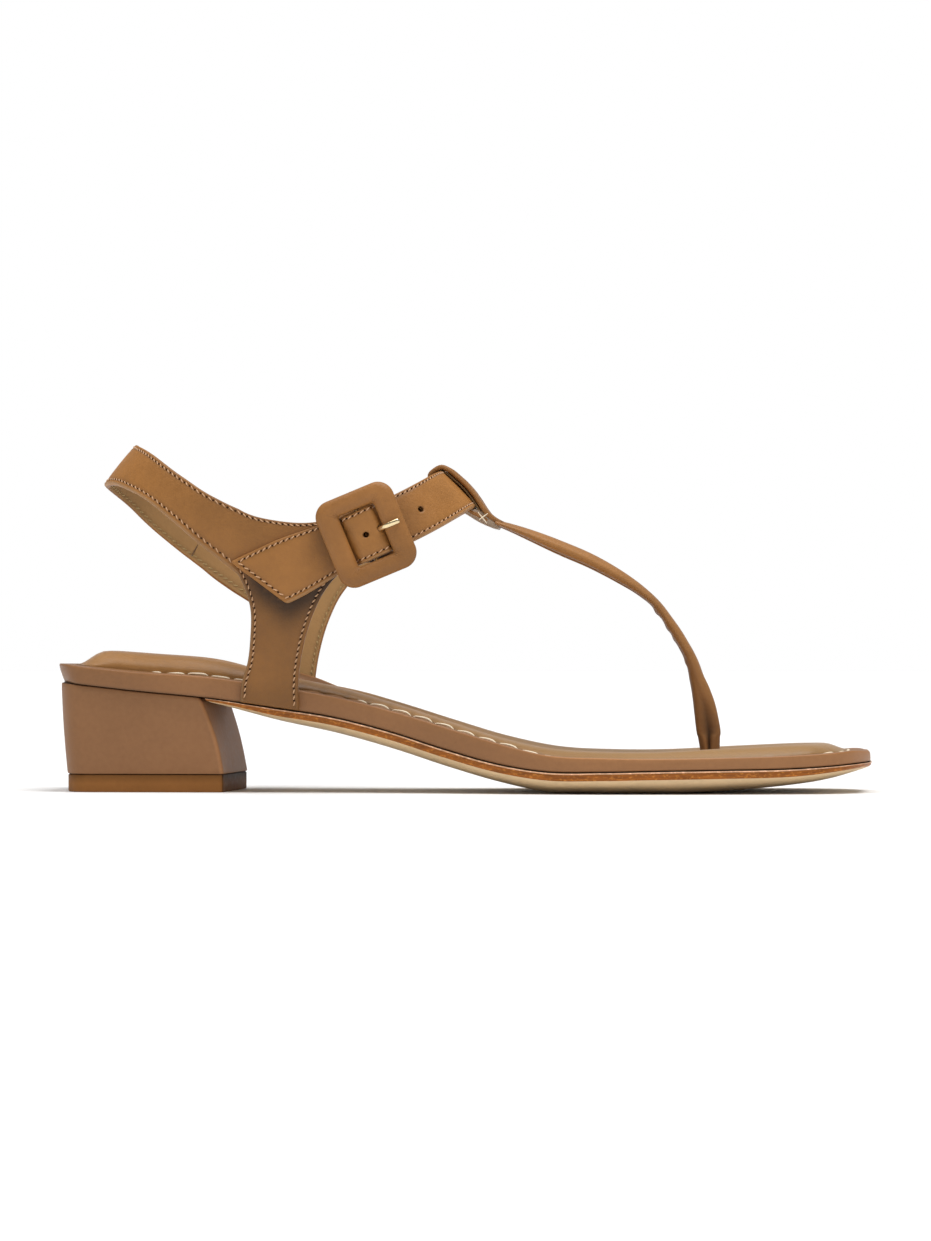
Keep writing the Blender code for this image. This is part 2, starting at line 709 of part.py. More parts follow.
def make_buckle(frame_look, metal_look, home):
    sections = []
    for corner, (sx, sy) in enumerate(((1, 1), (-1, 1), (-1, -1), (1, -1))):
        side = np.array([sx, sy])
        inner = side * (np.array([WINDOW_HALF_LONG, WINDOW_HALF_WIDE]) - WINDOW_CORNER)
        outer = side * (np.array([FRAME_HALF_LONG, FRAME_HALF_WIDE]) - FRAME_CORNER)
        for turn in np.radians(np.linspace(90 * corner, 90 * corner + 90, 6)):
            way = np.array([math.cos(turn), math.sin(turn)])
            near = inner + way * WINDOW_CORNER
            far = outer + way * FRAME_CORNER
            ring = []
            for around in np.radians(np.arange(0, 360, 30)):
                along, across = (near + far) / 2 + (far - near) / 2 * math.cos(around)
                ring.append(buckle_point(along, across, FRAME_LEVEL + FRAME_THICK / 2 * math.sin(around)))
            sections.append(ring)
    loft("buckle_frame", sections, frame_look, home, joined=True)
    low = buckle_point(0, -BAR_HALF_LONG, BAR_LEVEL)
    high = buckle_point(0, BAR_HALF_LONG, BAR_LEVEL)
    cylinder("buckle_bar", BAR_RADIUS, low, high, metal_look, home)
    hook_turns = np.radians((180, 216, 252, 288, 324))
    hook = [(PRONG_HOOK * math.cos(t), BAR_LEVEL + PRONG_HOOK * math.sin(t)) for t in hook_turns]
    line = trace(hook + PRONG, 0.9)
    _, left = along_plane(line)
    sections = []
    for (along, out), (nx, ny) in zip(line, left):
        ring = []
        for around in np.radians(np.arange(0, 360, 45)):
            up = PRONG_RADIUS * math.cos(around)
            ring.append(buckle_point(along + nx * up, PRONG_RADIUS * math.sin(around), out + ny * up))
        sections.append(ring)
    loft("buckle_prong", sections, metal_look, home)


def combine(body, other, operation):
    step = body.modifiers.new(other.name, "BOOLEAN")
    step.object = other
    step.operation = operation
    step.solver = "EXACT"


def make_upper(look, home, helpers):
    """Quarters, sling, strap, loop and thong as one wall, with the strap's holes."""
    body = make_quarters(home)
    body.name = "upper"
    body.data.materials.append(look)
    for piece in (make_strap(helpers), make_loop(helpers), make_thong(helpers)):
        combine(body, piece, "UNION")
    prong_way = np.array(PRONG[3]) - np.array(PRONG[1])
    prong_way *= 2.2 / np.linalg.norm(prong_way)
    prong_mid = np.array(PRONG[2])
    ends = [[buckle_point(a, 0, n) for a, n in (prong_mid - 1.5 * prong_way, prong_mid + prong_way)]]
    for run in (BUCKLE_RUN, BUCKLE_RUN + 3 * HOLE_STEP):
        ends.append([strap_point(run, 0, -WALL * 0.8), strap_point(run, 0, WALL * 0.8)])
    for number, (start, end) in enumerate(ends):
        radius = HOLE_RADIUS if number else HOLE_RADIUS + 0.25
        combine(body, cylinder(f"strap_hole_{number}", radius, start, end, None, helpers, 12), "DIFFERENCE")


def make_slot(insole, helpers):
    """The slot that the toe post goes down into."""
    foot = THONG[-1]
    side = float(thong_side(foot.x))
    mesh = bpy.data.meshes.new("post_slot")
    shape = bmesh.new()
    bmesh.ops.create_cube(shape, size=1)
    shape.to_mesh(mesh)
    shape.free()
    slot = bpy.data.objects.new("post_slot", mesh)
    slot.scale = ((foot.high + 1.6) * MM, (foot.wide + 0.9) * MM, 14 * MM)
    slot.location = (foot.x * MM, side * MM, 14 * MM)
    helpers.objects.link(slot)
    combine(insole, slot, "DIFFERENCE")


def hide_helpers(helpers):
    for helper in helpers.objects:
        helper.hide_render = True
        helper.display_type = "WIRE"
    helpers.hide_render = True


def main():
    clear_scene()
    home = collection("heeled_sandal")
    helpers = collection("cutters")
    make_outsole(material("outsole_leather", (0.62, 0.44, 0.26), 0.5), home)
    make_midsole(material("rim_leather", (0.30, 0.16, 0.075), 0.5), home)
    insole = make_insole(material("foot_bed_leather", (0.40, 0.22, 0.10), 0.55), home)
    make_slot(insole, helpers)
    block = material("heel_leather", (0.29, 0.155, 0.075), 0.5)
    make_heel(block, material("top_piece_rubber", (0.22, 0.10, 0.035), 0.6), home)
    make_upper(material("strap_leather", (0.37, 0.18, 0.06), 0.5), home, helpers)
    frame = material("buckle_leather", (0.37, 0.18, 0.06), 0.5)
    metal = material("pale_brass", (0.78, 0.62, 0.36), 0.3)
    metal.node_tree.nodes["Principled BSDF"].inputs["Metallic"].default_value = 1.0
    make_buckle(frame, metal, home)
    hide_helpers(helpers)


main()
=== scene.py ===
"""Looks of a right heeled sandal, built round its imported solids: padded foot bed, wrapped rim, burnished
sole, covered heel, sewn straps, folded thong and covered buckle. Sizes are in millimetres in the shoe's own
frame: the toe points along +X, the outer side of the foot is -Y, and the shoe stands on z = 0."""

import math
from collections import namedtuple

import bmesh
import bpy
import numpy as np
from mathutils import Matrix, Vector
from mathutils.geometry import delaunay_2d_cdt


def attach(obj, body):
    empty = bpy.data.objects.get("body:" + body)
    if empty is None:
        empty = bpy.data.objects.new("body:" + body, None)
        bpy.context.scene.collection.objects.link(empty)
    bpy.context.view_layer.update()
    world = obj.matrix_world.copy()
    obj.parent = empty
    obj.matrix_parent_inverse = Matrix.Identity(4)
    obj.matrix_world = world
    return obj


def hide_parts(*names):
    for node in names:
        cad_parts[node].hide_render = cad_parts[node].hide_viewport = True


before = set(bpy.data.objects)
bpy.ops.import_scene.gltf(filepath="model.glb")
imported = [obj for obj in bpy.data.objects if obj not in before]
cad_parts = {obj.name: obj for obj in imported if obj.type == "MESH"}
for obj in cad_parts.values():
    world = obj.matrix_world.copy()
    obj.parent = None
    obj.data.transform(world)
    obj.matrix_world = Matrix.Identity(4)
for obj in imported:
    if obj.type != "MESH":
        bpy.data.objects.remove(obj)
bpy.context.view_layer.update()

MM = 0.001
GAP = 0.3


def table_of(columns, *rows):
    """Rows with named columns."""
    row_type = namedtuple("Row", columns)
    return [row_type(*row) for row in rows]


# Ends of the sole and how round its corners are
HEEL_END = -124.4
TOE_END = 124.6
HEEL_CORNER = 11.0
HEEL_STRAIGHT = 0.6
TOE_CORNER = 20.0
TOE_STRAIGHT = 0.42
CORNER_POWER = 2.6
CORNER_STEPS = 30
SIDE_STEPS = 222
ACROSS = 24
ACROSS_SHARE = np.linspace(0, 1, ACROSS + 1)[1:-1]

# Plan of the sole: how far the edge lies from the heel's centre line on each side
PLAN = table_of(
    "x lateral medial",
    (-126, 27.6, 27.6), (-100, 29.0, 28.8), (-75, 28.8, 28.0), (-50, 27.6, 26.0), (-25, 28.4, 25.2),
    (0, 32.6, 28.0), (22, 38.0, 34.6), (42, 40.6, 40.2), (62, 39.6, 42.2), (82, 36.2, 41.6),
    (102, 31.4, 38.8), (126, 25.6, 33.6),
)

# Side view of the sole: height of the seam above the floor, then what stands on it, and the sole's underside
SIDE = table_of(
    "x seam rim ledge pad floor",
    (-126, 34.1, 5.4, 0.2, 4.4, 30.0),
    (-100, 31.1, 5.6, 0.3, 5.4, 29.0),
    (-75, 28.6, 6.3, 0.3, 4.9, 26.6),
    (-55, 25.7, 6.3, 0.3, 3.2, 21.5),
    (-38, 23.0, 6.1, 0.3, 2.5, 17.8),
    (-20, 18.5, 6.3, 0.2, 1.8, 12.8),
    (-4, 13.5, 6.6, 0.0, 1.6, 7.7),
    (12, 9.2, 6.2, -0.1, 1.5, 3.2),
    (27, 6.9, 4.9, -0.2, 2.0, 0.2),
    (45, 6.8, 4.1, -0.3, 1.9, -0.5),
    (60, 7.1, 3.6, -0.3, 2.1, -0.2),
    (80, 7.4, 3.6, -0.2, 2.7, 0.7),
    (98, 7.7, 3.8, 0.0, 2.9, 2.2),
    (112, 8.5, 3.8, 0.2, 2.5, 4.1),
    (126, 9.8, 3.9, 0.3, 2.1, 7.4),
)
ARCH_LIFT = 4.4
ARCH_MIDDLE = -56.0
ARCH_REACH = 27.0
ARCH_START = 17.5
ARCH_WIDTH = 8.0
LEDGE_WIDTH = 6.8
HEEL_TUCK = 1.7
HEEL_TUCK_END = -112.0
HEEL_TUCK_FADE = 10.0
TOE_ROUND = 0.7
TOE_ROUND_START = 118.0
TOE_ROUND_FADE = 6.0
# Painted highlight along the rim's upper edge
RIM_EDGE_HIGHLIGHT = 0.14
PAD_ROUND = 9.0
PAD_DISH = 1.3
DISH_ROWS = 40
PAD_HEEL_END = -104.0
PAD_HEEL_FADE = 10.0
PAD_HEEL_SHIFT = 2.2
PAD_TOE_START = 106.0
ARCH_DIP = 1.1
STEM_SHADE = 0.3
STEM_MIDDLE = -49.0
STEM_SHADE_REACH = 18.0
OUTSOLE_EDGE = 2.3
OUTSOLE_BELLY = 21.0
OUTSOLE_START = -76.4
OUTSOLE_SKEW = 1.1
OUTSOLE_SKEW_REACH = 14.0
BREAST_THIN = 0.3
BREAST_THIN_REACH = 24.0
TOE_THIN = 0.5
TOE_THIN_START = 98.0
TOE_THIN_REACH = 26.0

# Sewing of the foot bed: length of a stitch with its gap, and how far the leather swells between the holes
BED_PITCH = 7.0
BED_HOLE_X = -21.1
BED_SWELL = 0.5
BED_PINCH_REACH = 0.7
BED_THREAD = 0.92

# How much the foot bed's sewing stands out along the shoe, and how deep it and its thread are sunk
SEWN = table_of(
    "x swell sink thread",
    (-126, 0.05, 0.0, 1.2),
    (-97, 0.1, 0.0, 1.1),
    (-91, 0.2, 0.05, 0.4),
    (-68, 0.2, 0.05, 0.25),
    (-60, 0.6, 0.1, 0.9),
    (-48, 0.8, 0.1, 1.1),
    (-33, 0.9, 0.1, 0.9),
    (-28, 0.9, 0.1, 0.1),
    (-22, 0.9, 0.1, 0.0),
    (12, 0.8, 0.15, 0.0),
    (20, 0.5, 0.2, 0.0),
    (26, 0.3, 0.35, 0.0),
    (34, 0.2, 0.8, 0.35),
    (98, 0.2, 0.9, 0.3),
    (108, 0.3, 0.5, 0.25),
    (126, 0.3, 0.4, 0.25),
)

# Heel block and its top piece
BLOCK_TOP_BACK = -123.5
BLOCK_TOP_BREAST = -77.6
BLOCK_TOP_HALF = 27.4
BLOCK_LOW_BACK = -122.0
BLOCK_LOW_BREAST = -71.0
BLOCK_LOW_HALF = 23.4
BLOCK_CORNER = 9.0
BREAST_SKEW = 0.7
BREAST_BULGE = 0.6
BREAST_CORNER = 1.4
BREAST_STEPS = 9
TOP_PIECE = 5.3

# The upper's wall, and the ankle form that the quarters and the sling lie on
WALL = 2.0
EDGE_ROUND = 0.7
SHEET_SPACING = 2.2
SHEET_SWELL = 0.15
GROOVE_DEEP = 0.2
GROOVE_REACH = 0.45
GROOVE_DARK = 0.24
SIDE_START = -66.0
SIDE_GIRTH = 52.0
SLING_LOW = 94.5
SLING_BACK = -110.6
SLING_LEAN = 0.818
SLING_DROP = 12.6
SLING_JOIN = 0.74
BEHIND_START = -62.0
BEHIND_REACH = 22.0
JOIN_START = -50.0
JOIN_TOP = 88.0
JOIN_REACH = 16.0
SLACK_LOW = 40.0
SLACK_REACH = 20.0
MEDIAL_BACK = 1.8
MEDIAL_DIP = 2.0
MEDIAL_DIP_AT = 50.2
MEDIAL_DIP_REACH = 4.6
GIRTH = table_of(
    "z half",
    (20, 29.3), (32, 29.4), (45, 30.4), (58, 31.2), (82, 31.2), (94, 29.8), (110, 27.6),
)

# Edges of a quarter in the side view, from the middle of the heel sling forward
Edge = namedtuple("Edge", "x z")
SLING_TOP = table_of(
    "x z",
    (-93.6, 102.5), (-83.4, 95.4), (-73.7, 89.3), (-63.7, 84.4), (-54.6, 82.1), (-44.0, 81.5),
    (-36.0, 83.0),
)
SLING_UNDER = table_of(
    "x z",
    (-104.6, 93.2), (-95.0, 88.6), (-87.0, 82.6), (-79.1, 76.0), (-71.7, 70.3), (-65.2, 64.2),
    (-62.5, 56.0), (-62.5, 47.0), (-63.4, 39.5), (-65.3, 33.0), (-65.7, 27.4),
)
STEM_FRONT = table_of(
    "x z",
    (-47.9, 24.9), (-48.0, 34.0), (-46.6, 43.5), (-43.8, 53.0), (-39.7, 61.2), (-34.8, 66.6),
    (-28.4, 69.4),
)
SLING_TOP_BACK = 106.2
SLING_UNDER_BACK = 93.6

# Where two pieces of lining meet on the inner side of the sling
LINING_JOIN = [Edge(-86.9, 89.4), Edge(-88.0, 87.4), Edge(-89.0, 85.6)]

# End of the lateral quarter under the buckle, where it bends in with the foot
TAB_LOW = Edge(-17.0, 69.6)
TAB_TOP = Edge(-25.0, 88.8)
TAB_BEND_START = -34.0
TAB_BEND = 4300.0

# Sewing of the straps: insets from the upper and the lower edge, length of a stitch with its gap, and thread
SEAM_TOP = 0.85
SEAM_LOW = 1.3
SEAM_PITCH = 1.85
SEAM_THREAD = 0.4
THREAD_FLAT = 0.8
THREAD_SINK = 0.08
STITCH_HALF = 0.38
STITCH_SLANT = 0.7
STITCH_RISE = 0.2
STITCH_DROP = 0.14
PINHOLE_RADIUS = 0.3

# Ankle strap: a U round the instep, leaning forward at its crest
STRAP_WIDTH = 15.2
STRAP_FLARE = 1.8
STRAP_LIFT = 1.0
FLARE_START = 56.0
FLARE_REACH = 22.0
LIFT_START = 52.0
LIFT_REACH = 9.0
STRAP_CREST_X = -2.2
STRAP_CREST_Z = 92.2
STRAP_BEND = 27.0
STRAP_POWER = 2.5
STRAP_LEAN = 25.0
STRAP_CREST_LEAN = 45.0
STRAP_OUT_LATERAL = 33.6
STRAP_OUT_MEDIAL = 33.0
STRAP_RISE = 4.7
STRAP_RISE_END = 36.0
STRAP_RISE_FADE = 18.0
STRAP_TIP_TOP = -91.0
STRAP_TIP_LOW = -80.8
STRAP_SEWN_END = 77.4
TIP_SHADE = 0.85
TIP_SHADE_REACH = 6.5
TIP_SHADE_SIDE = 9.0
BUCKLE_SHADE = 0.3
BUCKLE_SHADE_REACH = 4.0
HOLE_RADIUS = 0.75
HOLE_STEP = 6.1
HOLE_PLACES = (0.0, 4.3, 3 * HOLE_STEP)
STRAP_CORNER = 1.2

# Buckle: covered frame, bar across its middle, prong round the bar
BUCKLE_X = -26.8
BUCKLE_TURN = -2.5
FRAME_HALF_LONG = 12.4
FRAME_HALF_WIDE = 13.75
WINDOW_HALF_LONG = 5.7
WINDOW_HALF_WIDE = 8.2
FRAME_CORNER = 5.0
WINDOW_CORNER = 0.8
FRAME_LEVEL = 4.4
FRAME_THICK = 3.8
FRAME_SHADE = 0.26
BAR_LEVEL = 2.4
BUMP_HEIGHT = 4.4
BUMP_FLAT = 3.6
BUMP_END = 7.1
CORNER_POINTS = 16
PUCKER_STEPS = 7.0
PUCKER_DEEP = 0.35
PRONG_HALF = 0.85
PRONG_RISE = 0.6
PRONG_HOOK = 1.45
PRONG = [(1.45, 2.4), (2.9, 3.3), (4.2, 4.4), (5.4, 5.65), (6.7, 6.75), (8.6, 7.25), (11.0, 7.0)]

# Thong: a strip rolled to an oval, from the loop down to the toe post
THONG = table_of(
    "x z wide high seam_turn deep soft",
    (9.6, 82.2, 12.4, 1.8, 22, 0.5, 11),
    (13.8, 80.8, 11.9, 2.5, 24, 0.5, 11),
    (20.0, 78.4, 11.4, 3.5, 25, 0.55, 10),
    (29.2, 74.5, 10.6, 4.4, 25, 0.55, 10),
    (38.4, 70.5, 10.0, 4.4, 24, 0.55, 10),
    (47.6, 65.4, 9.2, 3.9, 22, 0.5, 10),
    (53.7, 61.3, 8.6, 3.2, 18, 0.4, 10),
    (58.8, 56.7, 8.0, 2.8, 14, 0.3, 10),
    (62.3, 51.8, 7.4, 3.1, 14, 0.2, 12),
    (66.9, 44.3, 6.8, 3.5, 30, 0.1, 14),
    (69.3, 39.4, 6.3, 3.8, 50, 0.05, 16),
    (70.7, 34.5, 5.8, 4.7, 70, 0.05, 18),
    (72.2, 29.6, 5.3, 6.0, 84, 0.08, 22),
    (73.3, 24.6, 4.9, 7.0, 92, 0.3, 28),
    (74.0, 20.2, 4.6, 7.4, 94, 0.5, 32),
    (74.5, 15.6, 4.4, 6.6, 88, 0.6, 15),
    (74.8, 11.4, 4.4, 5.8, 82, 0.6, 9),
)
THONG_RIPPLES = [(55.8, 0.55), (50.8, 0.35), (47.4, 0.3), (40.2, 0.25)]
THONG_SIDE = 8.0
THONG_SIDE_START = 6.0
THONG_SIDE_REACH = 66.0
RIPPLE_REACH = 1.2

# Loop of the thong round the ankle strap's crest, from the outer end over the top to the inner end
LOOP_WIDE = 12.8
LOOP_THICK = 1.6
LOOP_TAPER = 0.25
LOOP = table_of(
    "x z",
    (11.5, 81.9), (9.4, 83.0), (7.5, 84.4), (6.0, 86.3), (4.4, 88.8), (2.4, 91.6), (0.3, 94.0),
    (-2.2, 96.3), (-4.7, 98.3), (-7.0, 99.2), (-9.1, 98.2), (-10.5, 96.6), (-10.1, 95.4), (-8.7, 94.8),
    (-6.4, 93.8), (-3.6, 91.0), (-0.9, 87.9), (1.4, 85.8), (4.4, 84.5), (6.9, 83.0), (9.0, 81.6),
    (10.3, 80.9),
)
# Thickness of a lining strip inside the loop, painted dark as the shade between loop and strap.
SHADED_LOOP_LINING = 0.9

# The thong's end, folded back under the loop and sewn with a cross
TAB = table_of(
    "x z thick",
    (0.2, 85.6, 1.2), (2.0, 85.3, 2.6), (4.2, 84.6, 3.7), (6.4, 83.2, 3.3), (8.2, 82.0, 2.5),
    (9.6, 81.2, 1.9), (10.5, 80.7, 1.2),
)
TAB_WIDE = 13.1
TAB_TAPER = 3.2
TAB_SIDE = -6.15
TAB_STITCHES = [((4.3, 85.4), (7.1, 81.9)), ((4.6, 83.0), (7.4, 85.0))]

# Camera of the photo
CAMERA_PLACE = (117.1, -1395.1, 38.0)
CAMERA_AIM = (0.0, 0.0, 52.3)
CAMERA_LENS = 132.3

# Light: where each soft box stands, how wide it looks in degrees, and its strength
SKY_LEVEL = 0.2
TOP_LIGHT = ((-0.08, 0.0, 1.0), 60, 1.85)
KEY_LIGHT = ((0.3, -0.3, 1.0), 25, 1.6)


def spline(knots, values, at):
    """Cubic curve through the rows, with slopes taken from the neighbours on each side."""
    knots = np.asarray(knots, float)
    values = np.asarray(values, float)
    at = np.asarray(at, float)
    steps = np.diff(knots)
    rises = np.diff(values) / steps
    slopes = np.empty_like(values)
    slopes[1:-1] = (rises[:-1] * steps[1:] + rises[1:] * steps[:-1]) / (steps[:-1] + steps[1:])
    slopes[0] = rises[0]
    slopes[-1] = rises[-1]
    row = np.clip(np.searchsorted(knots, at) - 1, 0, len(knots) - 2)
    width = steps[row]
    t = np.clip((at - knots[row]) / width, 0, 1)
    return (
        values[row] * (1 + 2 * t) * (1 - t) ** 2
        + values[row + 1] * t**2 * (3 - 2 * t)
        + width * slopes[row] * t * (1 - t) ** 2
        - width * slopes[row + 1] * t**2 * (1 - t)
    )


def column(table, name, at):
    return spline([row[0] for row in table], [getattr(row, name) for row in table], at)


def ease(t):
    """A smooth step from 0 to 1."""
    t = np.clip(t, 0, 1)
    return t * t * (3 - 2 * t)


def unit(vectors):
    return vectors / np.linalg.norm(vectors, axis=-1, keepdims=True)


def hump(value, width):
    """1 at zero, and close to 0 beyond twice the width."""
    return np.exp(-((value / width) ** 2))


def circle(count):
    """Equal turns round a full circle."""
    return np.arange(count) * 2 * math.pi / count


def bowed(values, power):
    """The values bent by a power, with their signs kept."""
    return np.sign(values) * np.abs(values) ** power


def left_of(along):
    """Flat directions turned a quarter to the left."""
    return np.stack([-along[:, 1], along[:, 0]], axis=1)


def run_of(points):
    """Distance along a line of points."""
    return np.concatenate([[0], np.cumsum(np.linalg.norm(np.diff(points, axis=0), axis=1))])


def along_line(points, at, run=None):
    """Points at these distances along a line."""
    run = run_of(points) if run is None else run
    return np.stack([np.interp(at, run, points[:, i]) for i in range(points.shape[1])], axis=-1)


def trace(points, spacing):
    """Points at about this spacing on a smooth curve through the given ones."""
    points = np.asarray(points, float)
    run = run_of(points)
    at = np.linspace(0, run[-1], max(2, int(round(run[-1] / spacing)) + 1))
    return np.stack([spline(run, points[:, i], at) for i in range(points.shape[1])], axis=1)


# Materials


class Nodes:
    """A node tree being filled. A socket takes a number or colour, or another node's output to link to it."""

    def __init__(self, tree):
        self.tree = tree

    def put(self, node, values):
        for name, value in values.items():
            socket = node.inputs[name.replace("_", " ") if isinstance(name, str) else name]
            if isinstance(value, bpy.types.NodeSocket):
                self.tree.links.new(value, socket)
            else:
                socket.default_value = value

    def add(self, kind, **values):
        made = self.tree.nodes.new("ShaderNode" + kind)
        self.put(made, values)
        return made

    def noise(self, place, scale, detail, stretch=None):
        if stretch:
            place = self.add("Mapping", Vector=place, Scale=stretch).outputs["Vector"]
        return self.add("TexNoise", Vector=place, Scale=scale, Detail=detail).outputs["Fac"]

    def ramp(self, value, stops):
        made = self.add("ValToRGB", Fac=value)
        points = made.color_ramp.elements
        while len(points) < len(stops):
            points.new(0.5)
        for point, (at, colour) in zip(points, stops):
            point.position = at
            point.color = (*colour, 1.0)
        return made.outputs["Color"]

    def mix(self, kind, first, second, share=1.0):
        made = self.add("Mix")
        made.data_type = "RGBA"
        made.blend_type = kind
        self.put(made, {0: share, 6: first, 7: second})
        return made.outputs[2]

    def spread(self, value, low, high, start=0.3, end=0.7):
        made = self.add("MapRange", Value=value, From_Min=start, From_Max=end, To_Min=low, To_Max=high)
        return made.outputs["Result"]

    def bumps(self, *heights):
        """A chain of bumps: each is (height, strength, depth in metres)."""
        normal = None
        for value, strength, depth in heights:
            made = self.add("Bump", Height=value, Strength=strength, Distance=depth)
            if normal:
                self.put(made, {"Normal": normal})
            normal = made.outputs["Normal"]
        return normal


class Look(Nodes):
    """A material, and the place on the object that its patterns follow."""

    def __init__(self, name):
        self.made = bpy.data.materials.new(name)
        self.made.use_nodes = True
        super().__init__(self.made.node_tree)
        self.place = self.add("TexCoord").outputs["Object"]

    def shaded(self, base):
        """The colour times the shade of the mesh's points."""
        shade = self.add("Attribute")
        shade.attribute_name = "shade"
        return self.mix("MULTIPLY", base, shade.outputs["Color"])

    def finish(self, **values):
        self.put(self.tree.nodes["Principled BSDF"], values)
        return self.made


def scaled(colour, share):
    return tuple(c * share for c in colour)


def leather(
    name, colour, patchy=0.1, rough=(0.46, 0.6), grain=0.3, speck=0.07, gloss=0.36, sheen=0.0, front=None
):
    """Smooth dyed leather: cloudy colour, fine pores, satin gloss. front is another colour towards the toe,
    with where it starts and where it is full; it is painted in as the greyer reflection seen there."""
    look = Look(name)
    cloud = look.noise(look.place, 55, 4)
    fine = look.noise(look.place, 650, 3)
    base = look.ramp(cloud, [(0.3, scaled(colour, 1 - patchy)), (0.7, scaled(colour, 1 + patchy))])
    if front:
        other, start, end = front
        x = look.add("SeparateXYZ", Vector=look.place).outputs["X"]
        base = look.mix("MIX", base, (*other, 1.0), look.spread(x, 0, 1, start * MM, end * MM))
    pits = look.ramp(fine, [(0.3, scaled((1.0, 0.99, 0.97), 1 - speck)), (0.65, (1.0, 1.0, 1.0))])
    pores = look.add("TexVoronoi", Vector=look.place, Scale=1500).outputs["Distance"]
    swell = look.noise(look.place, 160, 3)
    return look.finish(
        Base_Color=look.shaded(look.mix("MULTIPLY", base, pits)),
        Roughness=look.spread(fine, *rough),
        Normal=look.bumps((swell, 0.35 * grain, 0.0012), (pores, grain, 0.00022)),
        Specular_IOR_Level=gloss,
        Sheen_Weight=sheen,
        Sheen_Roughness=0.4,
    )


def burnished(name, colour, fleck, amount):
    """Waxed cut edge of sole leather: fibres along the edge, and flecks where the wax catches the light."""
    look = Look(name)
    fibres = look.noise(look.place, 1.0, 4, (180, 180, 1500))
    specks = look.noise(look.place, 1.0, 3, (900, 900, 1500))
    base = look.ramp(fibres, [(0.3, scaled(colour, 0.7)), (0.5, colour), (0.72, scaled(colour, 1.3))])
    bright = look.ramp(specks, [(0.52, (0.0, 0.0, 0.0)), (0.68, scaled(fleck, amount))])
    return look.finish(
        Base_Color=look.shaded(look.mix("ADD", base, bright)),
        Roughness=look.spread(specks, 0.3, 0.48),
        Normal=look.bumps((fibres, 0.3, 0.0002), (specks, 0.25, 0.0001)),
        Specular_IOR_Level=0.2,
    )


def thread(name, colour):
    look = Look(name)
    fibre = look.noise(look.place, 2600, 2)
    base = look.ramp(fibre, [(0.3, scaled(colour, 0.8)), (0.65, colour)])
    normal = look.bumps((fibre, 0.4, 0.0001))
    return look.finish(Base_Color=base, Normal=normal, Roughness=0.55, Sheen_Weight=0.2)


def metal(name, colour):
    look = Look(name)
    scuff = look.noise(look.place, 900, 3)
    base = look.ramp(scuff, [(0.3, scaled(colour, 0.9)), (0.7, colour)])
    return look.finish(Base_Color=base, Roughness=look.spread(scuff, 0.16, 0.28), Metallic=1.0)


def plain(name, colour, rough):
    """A dark pinhole, or the floor, a little uneven in tone."""
    look = Look(name)
    uneven = look.noise(look.place, 1500, 2)
    base = look.ramp(uneven, [(0.3, scaled(colour, 0.97)), (0.7, scaled(colour, 1.03))])
    return look.finish(Base_Color=base, Roughness=rough, Specular_IOR_Level=0.1)


STRAP_LEATHER = leather("strap_leather", (0.315, 0.134, 0.031), patchy=0.15)
LINING = leather(
    "lining_leather", (0.44, 0.26, 0.106), patchy=0.06, rough=(0.6, 0.75), grain=0.12, speck=0.05
)
THONG_LEATHER = leather("thong_leather", (0.32, 0.14, 0.036), patchy=0.12, sheen=0.12)
CUT_EDGE = leather("strap_edge", (0.33, 0.168, 0.062), patchy=0.08, grain=0.15)
TAB_LEATHER = leather("tab_leather", (0.33, 0.24, 0.165), patchy=0.12)
BUCKLE_LEATHER = leather("buckle_leather", (0.315, 0.134, 0.033), patchy=0.13)
RIM_LEATHER = leather("rim_leather", (0.275, 0.125, 0.046), patchy=0.05, rough=(0.4, 0.5), grain=0.15)
# The foot bed's greyer colour towards the toe is a painted reflection of light at a grazing angle.
BED_LEATHER = leather(
    "foot_bed_leather", (0.40, 0.187, 0.047), patchy=0.06, rough=(0.38, 0.5), grain=0.2, sheen=0.25,
    front=((0.365, 0.196, 0.063), -90, 40),
)
HEEL_LEATHER = leather(
    "heel_leather", (0.28, 0.135, 0.059), patchy=0.05, rough=(0.5, 0.62), grain=0.15, gloss=0.2
)
TOP_PIECE_RUBBER = leather(
    "top_piece_rubber", (0.275, 0.115, 0.032), patchy=0.06, rough=(0.55, 0.68), grain=0.12, gloss=0.1
)
SOLE_EDGE = burnished("sole_edge", (0.29, 0.088, 0.01), (0.5, 0.22, 0.04), 0.4)
# A pale welt line along the top of the sole's edge, painted paler still as a highlight where it catches the
# light.
WELT_LINE_AND_HIGHLIGHT = burnished("welt_line_and_highlight", (0.66, 0.38, 0.22), (0.5, 0.35, 0.25), 0.8)
SOLE_LEATHER = leather("outsole_leather", (0.67, 0.485, 0.28), patchy=0.06, rough=(0.5, 0.62), grain=0.15)
CREAM_THREAD = thread("cream_thread", (0.98, 0.84, 0.62))
SEAM_THREAD_LOOK = thread("pink_thread", (0.62, 0.355, 0.18))
LINING_THREAD = thread("lining_thread", (0.44, 0.31, 0.12))
LINING_JOIN_LOOK = thread("lining_join", (0.16, 0.085, 0.03))
# Near-black discs in the stitch holes and the buckle holes: painted shade inside the holes.
PINHOLE = plain("pinhole", (0.04, 0.015, 0.006), 0.8)
STRAP_HOLE = plain("strap_hole", (0.1, 0.04, 0.012), 0.8)
PALE_GOLD = metal("pale_brass", (0.86, 0.70, 0.42))
# Brass of the bar, painted dark as the shade it sits in under the strap.
SHADED_BRASS = metal("shaded_brass", (0.26, 0.15, 0.06))


# Building a piece


